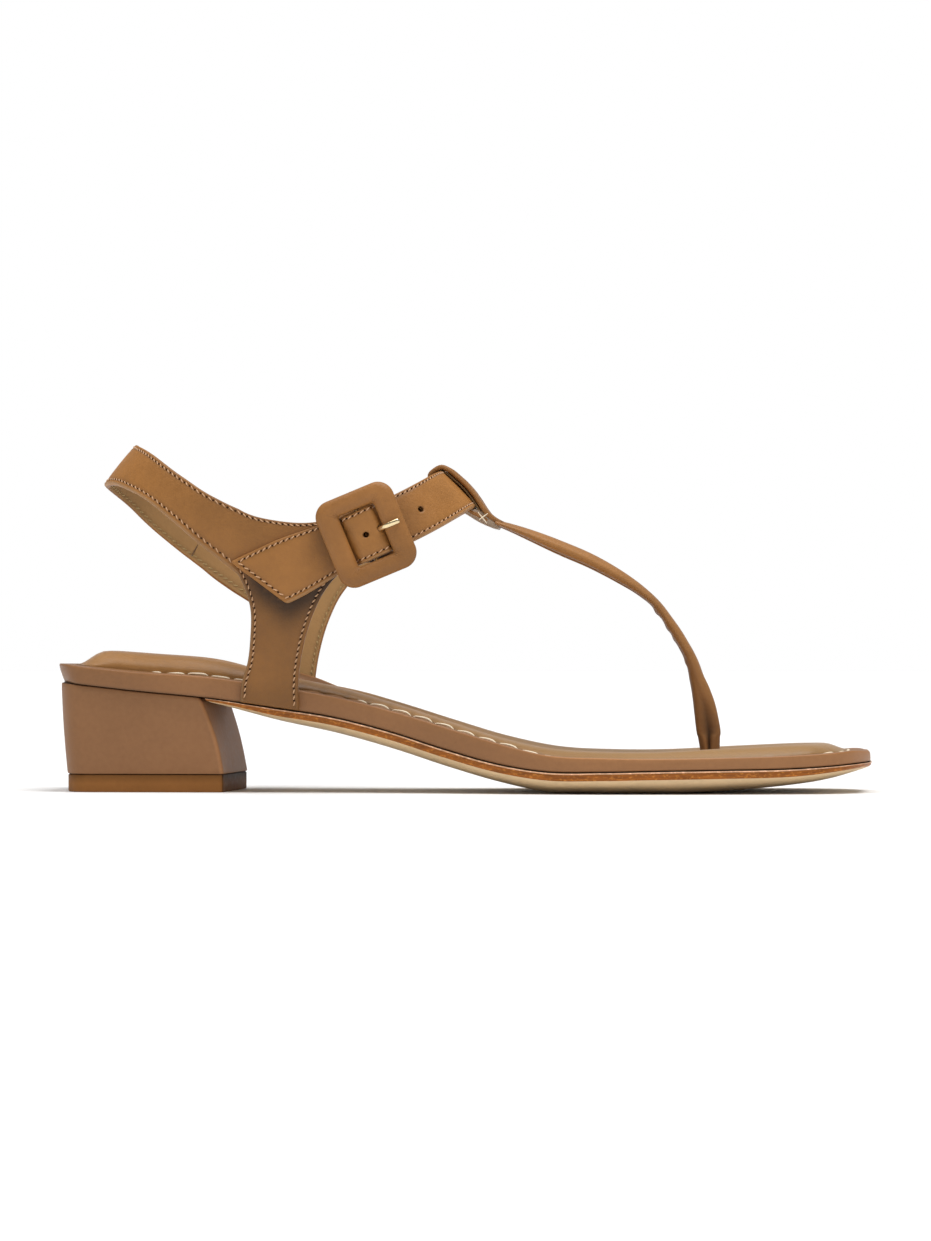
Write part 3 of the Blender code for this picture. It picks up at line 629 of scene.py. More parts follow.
def piece(name, points, faces, looks, nodes=(), kinds=None, shade=None):
    """A smooth mesh that rides on the shoe. kinds gives each face's look, shade each point's darkening."""
    mesh = bpy.data.meshes.new(name)
    mesh.from_pydata((np.asarray(points) * MM).tolist(), [], [tuple(face) for face in faces])
    for look in looks:
        mesh.materials.append(look)
    if kinds is not None:
        mesh.polygons.foreach_set("material_index", np.asarray(kinds, np.int32))
    mesh.polygons.foreach_set("use_smooth", np.ones(len(faces), bool))
    tone = mesh.attributes.new("shade", "FLOAT", "POINT")
    tone.data.foreach_set("value", np.asarray(np.ones(len(points)) if shade is None else shade, np.float32))
    shape = bmesh.new()
    shape.from_mesh(mesh)
    bmesh.ops.delete(shape, geom=[v for v in shape.verts if not v.link_faces], context="VERTS")
    bmesh.ops.recalc_face_normals(shape, faces=shape.faces)
    shape.to_mesh(mesh)
    shape.free()
    made = bpy.data.objects.new(name, mesh)
    bpy.context.scene.collection.objects.link(made)
    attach(made, "root")
    if nodes:
        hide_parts(*nodes)
    return made


def skin(count, size, joined=False):
    """Faces between neighbouring rings of equal size."""
    low = np.arange(count if joined else count - 1)[:, None] * size
    high = (low + size) % (count * size)
    i = np.arange(size)
    j = (i + 1) % size
    return np.stack(np.broadcast_arrays(low + i, low + j, high + j, high + i), axis=-1).reshape(-1, 4)


def loft(name, sections, looks, nodes=(), joined=False, shade=None):
    sections = np.asarray(sections)
    count, size, _ = sections.shape
    faces = skin(count, size, joined).tolist()
    if not joined:
        faces.append(list(range(size)))
        faces.append(list(range((count - 1) * size, count * size)))
    tones = None if shade is None else np.asarray(shade).reshape(-1)
    return piece(name, sections.reshape(-1, 3), faces, looks, nodes, None, tones)


# Sole


def corner_curve(straight, count):
    """A corner from the straight end to the side: how far along the side, and the share of the half width."""
    power = 2 / CORNER_POWER
    turn = np.linspace(math.asin(straight ** (1 / power)), math.pi / 2, count)
    return 1 - np.cos(turn) ** power, np.sin(turn) ** power


def edge_lines(inset, start, start_corner, start_straight):
    """The lateral and the medial edge of the sole drawn in by the inset, each from the back to the toe."""
    first = start + inset
    last = TOE_END - inset
    lead = max(start_corner - 0.5 * inset, 2.0)
    tail = max(TOE_CORNER - 0.5 * inset, 2.0)
    start_reach, start_share = corner_curve(start_straight, CORNER_STEPS)
    end_reach, end_share = corner_curve(TOE_STRAIGHT, CORNER_STEPS)
    middle = np.linspace(first + lead, last - tail, SIDE_STEPS)[1:-1]
    x = np.concatenate([first + lead * start_reach, middle, (last - tail * end_reach)[::-1]])
    full = np.concatenate([start_share, np.ones(len(middle)), end_share[::-1]])
    lateral = column(PLAN, "lateral", x)
    medial = column(PLAN, "medial", x)
    centre = (medial - lateral) / 2
    half = ((medial + lateral) / 2 - inset) * full
    return np.stack([x, centre - half], axis=1), np.stack([x, centre + half], axis=1)


def closed_ring(lateral, medial):
    """Lateral edge forward, across the toe, medial edge back, across the heel."""
    share = ACROSS_SHARE[:, None]
    toe = lateral[-1] + (medial[-1] - lateral[-1]) * share
    heel = medial[0] + (lateral[0] - medial[0]) * share
    return np.concatenate([lateral, toe, medial[::-1], heel])


def whole_ring(inset):
    return closed_ring(*edge_lines(inset, HEEL_END, HEEL_CORNER, HEEL_STRAIGHT))


def outsole_ring(inset):
    ring = closed_ring(*edge_lines(inset, OUTSOLE_START, BREAST_CORNER, HEEL_STRAIGHT))
    near = ease((OUTSOLE_START + OUTSOLE_SKEW_REACH - ring[:, 0]) / OUTSOLE_SKEW_REACH)
    ring[:, 0] += OUTSOLE_SKEW * ring[:, 1] / BLOCK_TOP_HALF * near
    return ring


def side_rows(ring):
    """How many points of a ring lie on each of its two sides."""
    return len(ring) // 2 - (ACROSS - 1)


def cap(ring, first, start, dish=0.0):
    """Points and faces that fill a ring with rows across it, sunk by the dish in the middle."""
    rows = side_rows(ring)
    ids = np.empty((rows, ACROSS + 1), int)
    ids[:, 0] = first + np.arange(rows)
    ids[:, -1] = first + rows + ACROSS - 1 + np.arange(rows)[::-1]
    ids[-1, 1:-1] = first + rows + np.arange(ACROSS - 1)
    ids[0, 1:-1] = first + 2 * rows + ACROSS - 1 + np.arange(ACROSS - 1)[::-1]
    inner = ids[1:-1, 1:-1]
    inner[:] = start + np.arange(inner.size).reshape(inner.shape)
    left = ring[1 : rows - 1, None]
    right = ring[rows + ACROSS - 1 : 2 * rows + ACROSS - 1][::-1][1:-1, None]
    points = left + (right - left) * ACROSS_SHARE[:, None]
    row = np.arange(1, rows - 1)
    ends = ease(row / DISH_ROWS) * ease((rows - 1 - row) / DISH_ROWS)
    points[..., 2] -= dish * ends[:, None] * ease(1 - (2 * ACROSS_SHARE - 1) ** 2)
    faces = np.stack([ids[:-1, :-1], ids[1:, :-1], ids[1:, 1:], ids[:-1, 1:]], axis=-1)
    return points.reshape(-1, ring.shape[1]), faces.reshape(-1, 4)


def shell(name, rings, looks, nodes, shade, kinds=None, dish=0.0):
    """A closed piece through rings, filled at both ends. shade and kinds have a value for each ring."""
    size = len(rings[0])
    shade = np.asarray(shade, float)
    if shade.ndim == 1:
        shade = np.repeat(shade[:, None], size, axis=1)
    rings = [np.column_stack(pair) for pair in zip(rings, shade)]
    points = np.concatenate(rings)
    low, low_faces = cap(rings[0], 0, len(points))
    high, high_faces = cap(rings[-1], len(points) - size, len(points) + len(low), dish)
    faces = np.concatenate([skin(len(rings), size), low_faces, high_faces])
    kinds = np.zeros(len(rings), int) if kinds is None else np.asarray(kinds)
    face_kinds = np.concatenate([
        np.repeat(kinds[:-1], size),
        np.full(len(low_faces), kinds[0]),
        np.full(len(high_faces), kinds[-1]),
    ])
    points = np.concatenate([points, low, high])
    return piece(name, points[:, :3], faces.tolist(), looks, nodes, face_kinds, points[:, 3])


def arch_near(x):
    return ease(1 - np.abs(x - ARCH_MIDDLE) / ARCH_REACH)


def arch_lift(x, y):
    """How far the medial rim of the arch is raised."""
    return ARCH_LIFT * arch_near(x) * ease((y - ARCH_START) / ARCH_WIDTH)


def seam_height(x):
    return column(SIDE, "seam", x)


def ledge_height(x, y):
    return seam_height(x) + column(SIDE, "rim", x) + column(SIDE, "ledge", x) + arch_lift(x, y)


def raised(plan, heights):
    return np.column_stack([plan, heights])


CREASE_PLAN = whole_ring(LEDGE_WIDTH)
CREASE = raised(CREASE_PLAN, ledge_height(*CREASE_PLAN.T))
CREASE_RUN = run_of(np.concatenate([CREASE, CREASE[:1]]))
BED_STITCHES = int(round(CREASE_RUN[-1] / BED_PITCH))
BED_STEP = CREASE_RUN[-1] / BED_STITCHES
LATERAL_POINTS = 2 * CORNER_STEPS + SIDE_STEPS - 2
BED_START = np.interp(BED_HOLE_X, CREASE[:LATERAL_POINTS, 0], CREASE_RUN[:LATERAL_POINTS])


def scallop(phase):
    """Height of the leather along one stitch: a slow rise and a steep fall into the next hole."""
    return np.sin(math.pi * phase**1.5)


BED_PHASE = ((CREASE_RUN[:-1] - BED_START) / BED_STEP) % 1.0
BED_PINCH = hump(np.minimum(BED_PHASE, 1 - BED_PHASE) * BED_STEP, BED_PINCH_REACH)
BED_SHOW = column(SEWN, "swell", CREASE[:, 0])
BED_SINK = column(SEWN, "sink", CREASE[:, 0])
BED_RISE = BED_SWELL * BED_SHOW * (scallop(BED_PHASE) - 0.35)


def make_rim():
    """The wrapped board: crisp upper edge, lower edge drawn in at the heel, ledge that dips to the sewing."""
    wall = [
        (2.5, 0.0), (0.7, 0.0), (0.2, 0.01), (0.05, 0.04), (0.0, 0.12), (0.0, 0.3),
        (0.0, 0.6), (0.0, 0.88), (0.08, 0.95), (0.25, 0.99), (0.6, 1.0), (1.4, 1.0),
    ]
    rings = []
    shade = []
    for inset, share in wall:
        x, y = whole_ring(inset).T
        tuck = HEEL_TUCK * (1 - share) ** 1.5 * ease((HEEL_TUCK_END - x) / HEEL_TUCK_FADE)
        toe = TOE_ROUND * ease((share - 0.5) / 0.5) * ease((x - TOE_ROUND_START) / TOE_ROUND_FADE)
        rim = column(SIDE, "rim", x) + arch_lift(x, y) - toe
        moved = x + tuck - toe
        rings.append(np.column_stack([moved, y, seam_height(moved) + share * rim]))
        # Painted shade at the wall's foot by the sole; painted highlight along the upper edge, strongest at
        # the forefoot; the wall lighter towards the toe and darker at the heel end.
        edge = RIM_EDGE_HIGHLIGHT * hump(share - 0.95, 0.06) if inset < 0.5 else 0.0
        rim_highlight = edge * (1 + 2.2 * ease((x - 20) / 15) * ease((90 - x) / 20))
        light = 1 - 0.14 * ease((-80 - x) / 30) + 0.12 * ease((x - 5) / 40)
        shade.append((0.5 + 0.5 * ease(share / 0.08) + rim_highlight) * light)
    for inset in (2.3, 3.3, 4.2, 5.0, 5.6, 6.1, 6.5, LEDGE_WIDTH):
        plan = whole_ring(inset)
        x, y = plan.T
        slope = (inset - 1.4) / (LEDGE_WIDTH - 1.4)
        near = ease((inset - 3.4) / 3.0)
        base = seam_height(x) + column(SIDE, "rim", x) + arch_lift(x, y) + slope * column(SIDE, "ledge", x)
        toe = TOE_ROUND * ease((5.4 - inset) / 4) * ease((x - TOE_ROUND_START) / TOE_ROUND_FADE)
        rings.append(raised(plan, base + near * (BED_RISE - BED_SINK) - toe))
        # Painted shade: the ledge darker at each stitch's pinch, and the medial ledge darker at the arch
        # where it dips behind the pad.
        medial_ledge_shade = 1 - 0.45 * np.sqrt(arch_near(x)) * (y > 0) * ease((6.4 - inset) / 3)
        shade.append((1 - 0.4 * BED_SHOW * BED_PINCH * ease((inset - 4.5) / 2)) * medial_ledge_shade)
    for inset, drop in ((7.05, 0.7), (7.4, 1.2), (8.0, 1.3)):
        plan = whole_ring(inset)
        rings.append(raised(plan, ledge_height(*plan.T) - drop - BED_SINK))
        # Painted shade in the crease under the pad.
        shade.append(np.full(len(plan), 0.4))
    shell("rim", rings, [RIM_LEATHER], ("midsole",), shade)


def pad_shade(x, y):
    """Painted shade from the two stems on the pad between them, and a little painted shade on the inner half.
    """
    stems = STEM_SHADE * hump(x - STEM_MIDDLE, STEM_SHADE_REACH)
    return (1 - stems) * (1 - 0.1 * ease(y / 10))


def make_foot_bed():
    """The pad: rolled edge that the stitches pull in, and a shallow dish for the foot."""
    rings = []
    shade = []
    for inset, lift in ((LEDGE_WIDTH + 1.0, -1.0), (LEDGE_WIDTH + 0.45, -0.6)):
        plan = whole_ring(inset)
        rings.append(raised(plan, ledge_height(*plan.T) + lift - BED_SINK))
        # Painted shade in the crease at the pad's foot.
        shade.append(np.full(len(plan), 0.4))
    for turn in np.radians((0, 8, 16, 25, 35, 46, 57, 68, 79, 90)):
        near = math.cos(turn) ** 3
        plan = whole_ring(LEDGE_WIDTH + 0.35 + PAD_ROUND * (1 - math.cos(turn)))
        x, y = plan.T
        crest = column(SIDE, "pad", x) - ARCH_DIP * arch_near(x) * ease(y / 12)
        heel = ease((PAD_HEEL_END - x) / PAD_HEEL_FADE)
        soft = np.maximum(heel, 0.8 * ease((x - PAD_TOE_START) / PAD_HEEL_FADE))
        plan[:, 0] -= PAD_HEEL_SHIFT * heel
        high = (1 - soft) * math.sin(turn) + soft * ease(1 - math.cos(turn))
        pull = near * (0.45 * BED_SHOW * BED_PINCH - 0.1 + BED_SINK)
        rings.append(raised(plan, ledge_height(x, y) + crest * high - pull))
        # Painted shade on the pad's roll near the crease, deepest at each stitch's pinch.
        shade.append((1 - (0.3 * BED_SHOW * BED_PINCH + 0.22) * near) * pad_shade(x, y))
    bed = shell("foot_bed", rings, [BED_LEATHER], ("insole",), shade, dish=PAD_DISH)
    return bed


def edge_share(x):
    """The sole's edge is thin at the heel breast and at the toe."""
    breast = BREAST_THIN + (1 - BREAST_THIN) * ease((x - OUTSOLE_START) / BREAST_THIN_REACH)
    return breast * (1 - TOE_THIN * ease((x - TOE_THIN_START) / TOE_THIN_REACH))


def make_outsole():
    """Burnished edge under a pale welt line, painted paler still as a highlight, thin at the heel breast, and
    a rounded pale underside.
    """
    rings = []
    kinds = []
    shade = []
    # Each row's last number is painted shade and light: dark in the gap under the rim and just under the
    # welt, a little lighter near the lower edge.
    edge = [
        (3.0, GAP, 2, 0.2), (0.4, GAP, 2, 0.2), (-0.1, GAP + 0.05, 2, 0.5), (-0.4, GAP + 0.16, 2, 1.0),
        (-0.45, GAP + 0.36, 2, 1.0), (-0.32, GAP + 0.46, 0, 0.6), (-0.22, 0.9, 0, 0.95), (-0.2, 1.4, 0, 1.0),
        (-0.12, 1.95, 0, 0.95), (0.0, OUTSOLE_EDGE - 0.12, 0, 1.1), (0.2, OUTSOLE_EDGE, 0, 1.0),
    ]
    for inset, drop, kind, tone in edge:
        plan = outsole_ring(inset)
        x = plan[:, 0]
        thin = edge_share(x)
        rings.append(raised(plan, seam_height(x) - GAP - (drop - GAP) * thin))
        kinds.append(kind)
        shade.append(tone)
    for turn in np.radians((5, 12, 20, 30, 40, 50, 60, 70, 80, 90)):
        plan = outsole_ring(0.2 + OUTSOLE_BELLY * (1 - math.cos(turn)))
        x = plan[:, 0]
        top = seam_height(x) - GAP - (OUTSOLE_EDGE - GAP) * edge_share(x)
        floor = np.maximum(column(SIDE, "floor", x), 0)
        rings.append(raised(plan, top + (np.minimum(floor, top - 0.2) - top) * math.sin(turn)))
        kinds.append(1)
        # Painted shade: the underside darker towards the floor.
        shade.append(1.0 - 0.25 * math.sin(turn) ** 2)
    looks = [SOLE_EDGE, SOLE_LEATHER, WELT_LINE_AND_HIGHLIGHT]
    shell("sole", rings, looks, ("outsole",), shade, kinds)


def heel_ring(back, breast, half_wide, inset=0.0):
    """Plan of the heel: round corners at the back and nearly square ones at the breast."""
    reach, share = corner_curve(HEEL_STRAIGHT, 24)
    front = np.radians(np.linspace(90, 0, BREAST_STEPS))
    wide = half_wide - inset
    corner_end = back + inset + BLOCK_CORNER
    side_x = np.linspace(corner_end, breast - inset - BREAST_CORNER, 30)[1:-1]
    x = np.concatenate([
        back + inset + BLOCK_CORNER * reach,
        side_x,
        breast - inset - BREAST_CORNER * (1 - np.cos(front)),
    ])
    y = np.concatenate([
        wide * share,
        np.full(len(side_x), wide),
        wide - BREAST_CORNER * (1 - np.sin(front)),
    ])
    skew = BREAST_SKEW * y / half_wide * (x - back) / (breast - back)
    return closed_ring(np.stack([x - skew, -y], axis=1), np.stack([x + skew, y], axis=1))


def breast_edge_highlight(ring):
    """Painted highlight along the two upright edges of the breast."""
    rows = side_rows(ring)
    bell = 0.3 * np.sin(np.linspace(0, math.pi, BREAST_STEPS))
    breast_highlight = np.zeros(len(ring))
    breast_highlight[rows - BREAST_STEPS : rows] = bell
    breast_highlight[rows + ACROSS - 1 : rows + ACROSS - 1 + BREAST_STEPS] = bell
    return breast_highlight


def breast_face(ring):
    """1 on the front face of the heel and 0 on its sides and back."""
    rows = side_rows(ring)
    face = np.zeros(len(ring))
    face[rows - BREAST_STEPS // 2 : rows + ACROSS - 1 + BREAST_STEPS // 2] = 1.0
    return face


def make_heel():
    rings = []
    shade = []
    profile = [(-0.012, 1.5), (-0.012, 0.55), (0.0, 0.45), (0.0, 0.2), (0.005, 0.06), (0.02, 0.0)]
    profile += [(share, -0.25 * math.sin(math.pi * share)) for share in np.linspace(0.08, 0.94, 14)]
    profile += [(0.985, 0.05), (0.997, 0.22), (1.0, 0.5), (1.0, 0.75), (1.012, 0.8), (1.012, 1.6)]
    for share, inset in profile:
        top = heel_ring(BLOCK_TOP_BACK, BLOCK_TOP_BREAST, BLOCK_TOP_HALF, inset)
        low = heel_ring(BLOCK_LOW_BACK, BLOCK_LOW_BREAST, BLOCK_LOW_HALF, inset)
        top = raised(top, seam_height(top[:, 0]) - GAP)
        low = raised(low, np.full(len(low), TOP_PIECE + GAP))
        ring = low + (top - low) * share
        front = ease((top[:, 0] - BLOCK_TOP_BREAST + 12) / 12)
        bulge = BREAST_BULGE * (1 - 0.5 * top[:, 1] / BLOCK_TOP_HALF) * front
        ring[:, 0] += bulge * math.sin(math.pi * np.clip(share, 0, 1))
        rings.append(ring)
        along = ease((top[:, 0] - BLOCK_TOP_BACK) / (BLOCK_TOP_BREAST - BLOCK_TOP_BACK))
        # Painted shade on the rings that fill the gaps to the rim and the top piece; the side a little
        # lighter towards the breast.
        shade.append((0.3 if inset > 0.3 else 0.95 + 0.1 * along) + breast_edge_highlight(top))
    shell("heel_cover", rings, [HEEL_LEATHER], ("heel_block",), shade)


def make_top_piece():
    rings = []
    shade = []
    profile = [
        (0.0, 1.6), (0.0, 0.7), (0.12, 0.35), (0.4, 0.25), (2.6, 0.22),
        (5.1, 0.22), (5.25, 0.28), (5.3, 0.45), (5.3, 1.8),
    ]
    for height, inset in profile:
        low = heel_ring(BLOCK_LOW_BACK, BLOCK_LOW_BREAST, BLOCK_LOW_HALF, inset)
        rings.append(raised(low, np.full(len(low), height)))
        # Painted shade: a dark band at the top under the heel, and the breast face darker.
        shade.append((0.6 if height > 5 else 1.0) - 0.45 * breast_face(low))
    shell("top_piece", rings, [TOP_PIECE_RUBBER], ("heel_top_piece",), shade)


# Threads


def threads(name, lines, ups, wide, high, look, sizes=None):
    """Short threads as one mesh: each line of points becomes an oval tube with rounded ends."""
    count, steps, _ = lines.shape
    along = unit(np.gradient(lines, axis=1))
    side = unit(np.cross(along, ups))
    up = np.cross(side, along)
    taper = np.sqrt(1 - np.linspace(-0.95, 0.95, steps) ** 2 * 0.95) if sizes is None else sizes
    turn = circle(8)
    ring = np.cos(turn)[:, None] * (side[:, :, None] * wide / 2)
    ring = ring + np.sin(turn)[:, None] * (up[:, :, None] * high / 2)
    points = (lines[:, :, None] + taper[None, :, None, None] * ring).reshape(-1, 3)
    one = skin(steps, 8)
    faces = []
    for first in range(0, count * steps * 8, steps * 8):
        faces += (one + first).tolist()
        faces.append(list(range(first, first + 8)))
        faces.append(list(range(first + (steps - 1) * 8, first + steps * 8)))
    piece(name, points, faces, [look])


def pinholes(name, centres, ups, alongs, radius, look=PINHOLE):
    """Small dark lenses where the thread goes down through the leather, painted dark as the shade in the
    hole.
    """
    side = unit(np.cross(alongs, ups))
    turn = circle(8)
    rim = centres[:, None] + radius * (
        np.cos(turn)[:, None] * unit(alongs)[:, None] + np.sin(turn)[:, None] * side[:, None]
    )
    points = np.concatenate([rim, (centres + ups * 0.07)[:, None], (centres - ups * 0.1)[:, None]], axis=1)
    i = np.arange(8)
    j = (i + 1) % 8
    one = np.concatenate([np.stack([i, j, np.full(8, 8)], axis=1), np.stack([j, i, np.full(8, 9)], axis=1)])
    faces = (np.arange(len(centres))[:, None, None] * 10 + one).reshape(-1, 3)
    piece(name, points.reshape(-1, 3), faces.tolist(), [look])


def make_bed_stitches():
    """Long cream stitches in the crease round the foot bed, each thick where it dives into its hole."""
    share = np.linspace(0.05, 0.96, 13)
    at = (BED_START + (np.arange(BED_STITCHES)[:, None] + share) * BED_STEP).reshape(-1) % CREASE_RUN[-1]
    lines = along_line(np.concatenate([CREASE, CREASE[:1]]), at)
    x = lines[:, 0]
    rise = BED_SWELL * column(SEWN, "swell", x) * (np.tile(scallop(share), BED_STITCHES) - 0.35)
    dice = np.random.default_rng(7)
    wander = np.repeat(dice.uniform(-0.12, 0.12, BED_STITCHES), len(share)) * (1 + ease((-58 - x) / 8))
    lines[:, 2] += rise - column(SEWN, "sink", x) - column(SEWN, "thread", x) + 0.16 + wander
    lines = lines.reshape(BED_STITCHES, len(share), 3)
    lines[:, (0, -1), 2] -= (0.5, 0.35)
    lines[:, (1, -2), 2] -= (0.2, 0.1)
    sizes = np.sqrt(np.clip(1 - np.abs(2 * share - 1) ** 4, 0.04, 1)) * (0.55 + 0.45 * ease(share / 0.7))
    ups = np.broadcast_to((0.0, 0.0, 1.0), lines.shape)
    high = THREAD_FLAT * BED_THREAD
    threads("foot_bed_stitches", lines, ups, BED_THREAD, high, CREAM_THREAD, sizes)


# Leather sheets


def crossings(points, loop):
    """True for each point inside a closed loop."""
    ends = np.roll(loop, -1, axis=0)
    inside = np.zeros(len(points), bool)
    for (ax, ay), (bx, by) in zip(loop, ends):
        if ay == by:
            continue
        spans = (points[:, 1] < ay) != (points[:, 1] < by)
        at = ax + (points[:, 1] - ay) * (bx - ax) / (by - ay)
        inside ^= spans & (points[:, 0] < at)
    return inside


def edge_distance(points, lines, closed=True):
    """Distance from each point to the nearest of some closed loops or open lines."""
    best = np.full(len(points), np.inf)
    for line in lines:
        ends = np.roll(line, -1, axis=0) if closed else line[1:]
        starts = line[: len(ends)]
        run = ends - starts
        size = np.maximum((run * run).sum(-1), 1e-9)
        for first in range(0, len(points), 1500):
            part = points[first : first + 1500, None]
            share = np.clip(((part - starts) * run).sum(-1) / size, 0, 1)
            away = np.linalg.norm(part - starts - share[..., None] * run, axis=-1).min(axis=1)
            best[first : first + 1500] = np.minimum(best[first : first + 1500], away)
    return best


def moved_in(line, depth, closed=False):
    """The line moved to its left by the depth."""
    along = np.roll(line, -1, axis=0) - np.roll(line, 1, axis=0) if closed else np.gradient(line, axis=0)
    return line + depth * left_of(unit(along))


def turned_left(loop):
    """The loop with its inside on the left."""
    x, y = loop.T
    return loop if (x * np.roll(y, -1) - np.roll(x, -1) * y).sum() > 0 else loop[::-1]


RIM_STEPS = (0.12, 0.35, 0.6, 0.85, 1.1, 1.35, 1.75, 2.4)


def cut_sheet(edge, holes):
    """Flat points and triangles of a sheet with holes, finer along its edges, and its edge loops."""
    loops = [edge] + [turned_left(hole)[::-1] for hole in holes]
    inner = []
    for loop in loops:
        for depth in RIM_STEPS:
            moved = moved_in(loop, depth, True)
            inner.append(moved[edge_distance(moved, loops) > 0.93 * depth])
    axes = [np.arange(low, high, SHEET_SPACING) for low, high in zip(edge.min(axis=0), edge.max(axis=0))]
    grid = np.stack(np.meshgrid(*axes), axis=-1).reshape(-1, 2)
    grid = grid[crossings(grid, edge)]
    inner.append(grid[edge_distance(grid, loops) > RIM_STEPS[-1] + 0.5 * SHEET_SPACING])
    flat = np.concatenate(loops + inner)
    rims = []
    first = 0
    for loop in loops:
        ids = np.arange(first, first + len(loop))
        rims += np.stack([ids, np.roll(ids, -1)], axis=1).tolist()
        first += len(loop)
    found = delaunay_2d_cdt([Vector(p) for p in flat], rims, [], 1, 1e-6)
    flat = np.array([tuple(p) for p in found[0]])
    faces = np.array([tuple(face) for face in found[2]])
    centre = flat[faces].mean(axis=1)
    kept = crossings(centre, edge)
    for hole in holes:
        kept &= ~crossings(centre, hole)
    return flat, faces[kept], loops


def leather_sheet(name, edge, holes, place, seams, pale, dark, inside=None):
    """Strap leather cut to a flat edge and laid on a form: rounded edges, and a groove along its seams."""
    edge = turned_left(edge)
    flat, faces, loops = cut_sheet(edge, holes)
    deep = edge_distance(flat, loops)
    near = np.minimum(deep, EDGE_ROUND)
    half = WALL / 2 - EDGE_ROUND + np.sqrt(EDGE_ROUND**2 - (EDGE_ROUND - near) ** 2)
    sewn = edge_distance(flat, seams, False)
    groove = GROOVE_DEEP * hump(sewn, GROOVE_REACH) * ease(deep / EDGE_ROUND)
    swell = SHEET_SWELL * ease((deep - 1.2) / 4)
    top = place(flat, half - groove + swell)
    under = place(flat, -half + 0.5 * groove)
    count = len(flat)
    sides = np.concatenate([faces[:, (0, 1)], faces[:, (1, 2)], faces[:, (2, 0)]])
    known = {tuple(side) for side in sides.tolist()}
    rim = np.array([(a, b) for a, b in known if (b, a) not in known])
    walls = np.stack([rim[:, 1], rim[:, 0], rim[:, 0] + count, rim[:, 1] + count], axis=1)
    every = faces.tolist() + (faces[:, ::-1] + count).tolist() + walls.tolist()
    from_pale = edge_distance(flat, [pale], False)
    kinds = np.concatenate([
        np.where(from_pale[faces].mean(axis=1) < 0.6, 2, 0),
        np.where(edge_distance(flat, [edge])[faces].mean(axis=1) < 0.4, 0, 1),
        np.where(from_pale[rim].mean(axis=1) < 0.3, 2, 0),
    ])
    # Painted shade in the grooves along the seams.
    under_tone = 1 - GROOVE_DARK * hump(sewn, 0.5)
    tone = under_tone * dark(flat)
    if inside:
        under_tone = under_tone * inside(flat)
    # Painted shade on the walls of the holes.
    for hole in holes:
        tone = np.minimum(tone, 0.12 + ease(edge_distance(flat, [hole]) / 0.25))
    looks = [STRAP_LEATHER, LINING, CUT_EDGE]
    points = np.concatenate([top, under])
    piece(name, points, every, looks, ("upper",), kinds, np.concatenate([tone, under_tone]))


def seam(name, line, place):
    """Stitches along a flat line on the outer face and on the lining, and pinholes on the outer face."""
    run = run_of(line)
    count = max(1, int(round(run[-1] / SEAM_PITCH)))
    step = run[-1] / count
    level = WALL / 2 - THREAD_SINK
    share = np.linspace(-STITCH_HALF, STITCH_HALF, 5)
    middle = (np.arange(count) + 0.5) * step
    ahead = unit(along_line(line, middle + 0.3) - along_line(line, middle - 0.3))
    rows = along_line(line, middle)[:, None] + ahead[:, None] * (share * step)[:, None]
    rows = (rows + left_of(ahead)[:, None] * (share * STITCH_SLANT)[:, None]).reshape(-1, 2)
    rise = np.tile(level + STITCH_RISE * (1 - (share / STITCH_HALF) ** 2) - STITCH_DROP, count)

    def stitches(side, ending, look):
        lines = place(rows, rise * side)
        ups = unit(place(rows, rise * side + side * 0.2) - lines).reshape(count, 5, 3)
        threads(name + ending, lines.reshape(count, 5, 3), ups, SEAM_THREAD, THREAD_FLAT * SEAM_THREAD, look)

    stitches(1, "_thread", SEAM_THREAD_LOOK)
    at = np.arange(1, count) * step
    flat = along_line(line, at)
    down = np.full(len(at), level - 0.02)
    centres = place(flat, down)
    ups = unit(place(flat, down + 0.2) - centres)
    alongs = unit(place(along_line(line, at + 0.3), down) - centres)
    pinholes(name + "_holes", centres, ups, alongs, PINHOLE_RADIUS)
    stitches(-1, "_lining_thread", LINING_THREAD)


# Run of the ankle strap


def strap_path():
    """The strap's middle line from its lateral tip over the crest to its sewn end: distance, points, lean."""
    turn = np.linspace(0, math.pi / 2, 160)
    bend = 1 - np.cos(turn) ** (2 / STRAP_POWER)
    share = np.sin(turn) ** (2 / STRAP_POWER)
    straight = np.arange(1.0, 75.0, 1.0)
    back = np.concatenate([STRAP_BEND * bend, STRAP_BEND + straight])
    side = np.concatenate([share, np.ones(len(straight))])
    lean = np.radians(STRAP_LEAN + (STRAP_CREST_LEAN - STRAP_LEAN) * (1 - side**2))
    x = STRAP_CREST_X - back
    drop = np.concatenate([[0], np.cumsum(np.diff(back) * np.tan((lean[1:] + lean[:-1]) / 2))])
    z = STRAP_CREST_Z - drop
    halves = []
    for sign, out in ((-1, STRAP_OUT_LATERAL), (1, STRAP_OUT_MEDIAL)):
        rise = max(sign, 0) * STRAP_RISE * ease(side) * (1 - ease((back - STRAP_RISE_END) / STRAP_RISE_FADE))
        line = np.stack([x, sign * out * side, z + rise], axis=1)
        halves.append((sign * run_of(line), line))
    (run_a, line_a), (run_b, line_b) = halves
    run = np.concatenate([run_a[::-1], run_b[1:]])
    line = np.concatenate([line_a[::-1], line_b[1:]])
    return run, line, np.concatenate([lean[::-1], lean[1:]])


STRAP_RUN, STRAP_LINE, STRAP_LEANS = strap_path()
LATERAL_HALF = len(STRAP_RUN) // 2
BUCKLE_RUN = float(np.interp(BUCKLE_X, STRAP_LINE[:LATERAL_HALF, 0], STRAP_RUN[:LATERAL_HALF]))


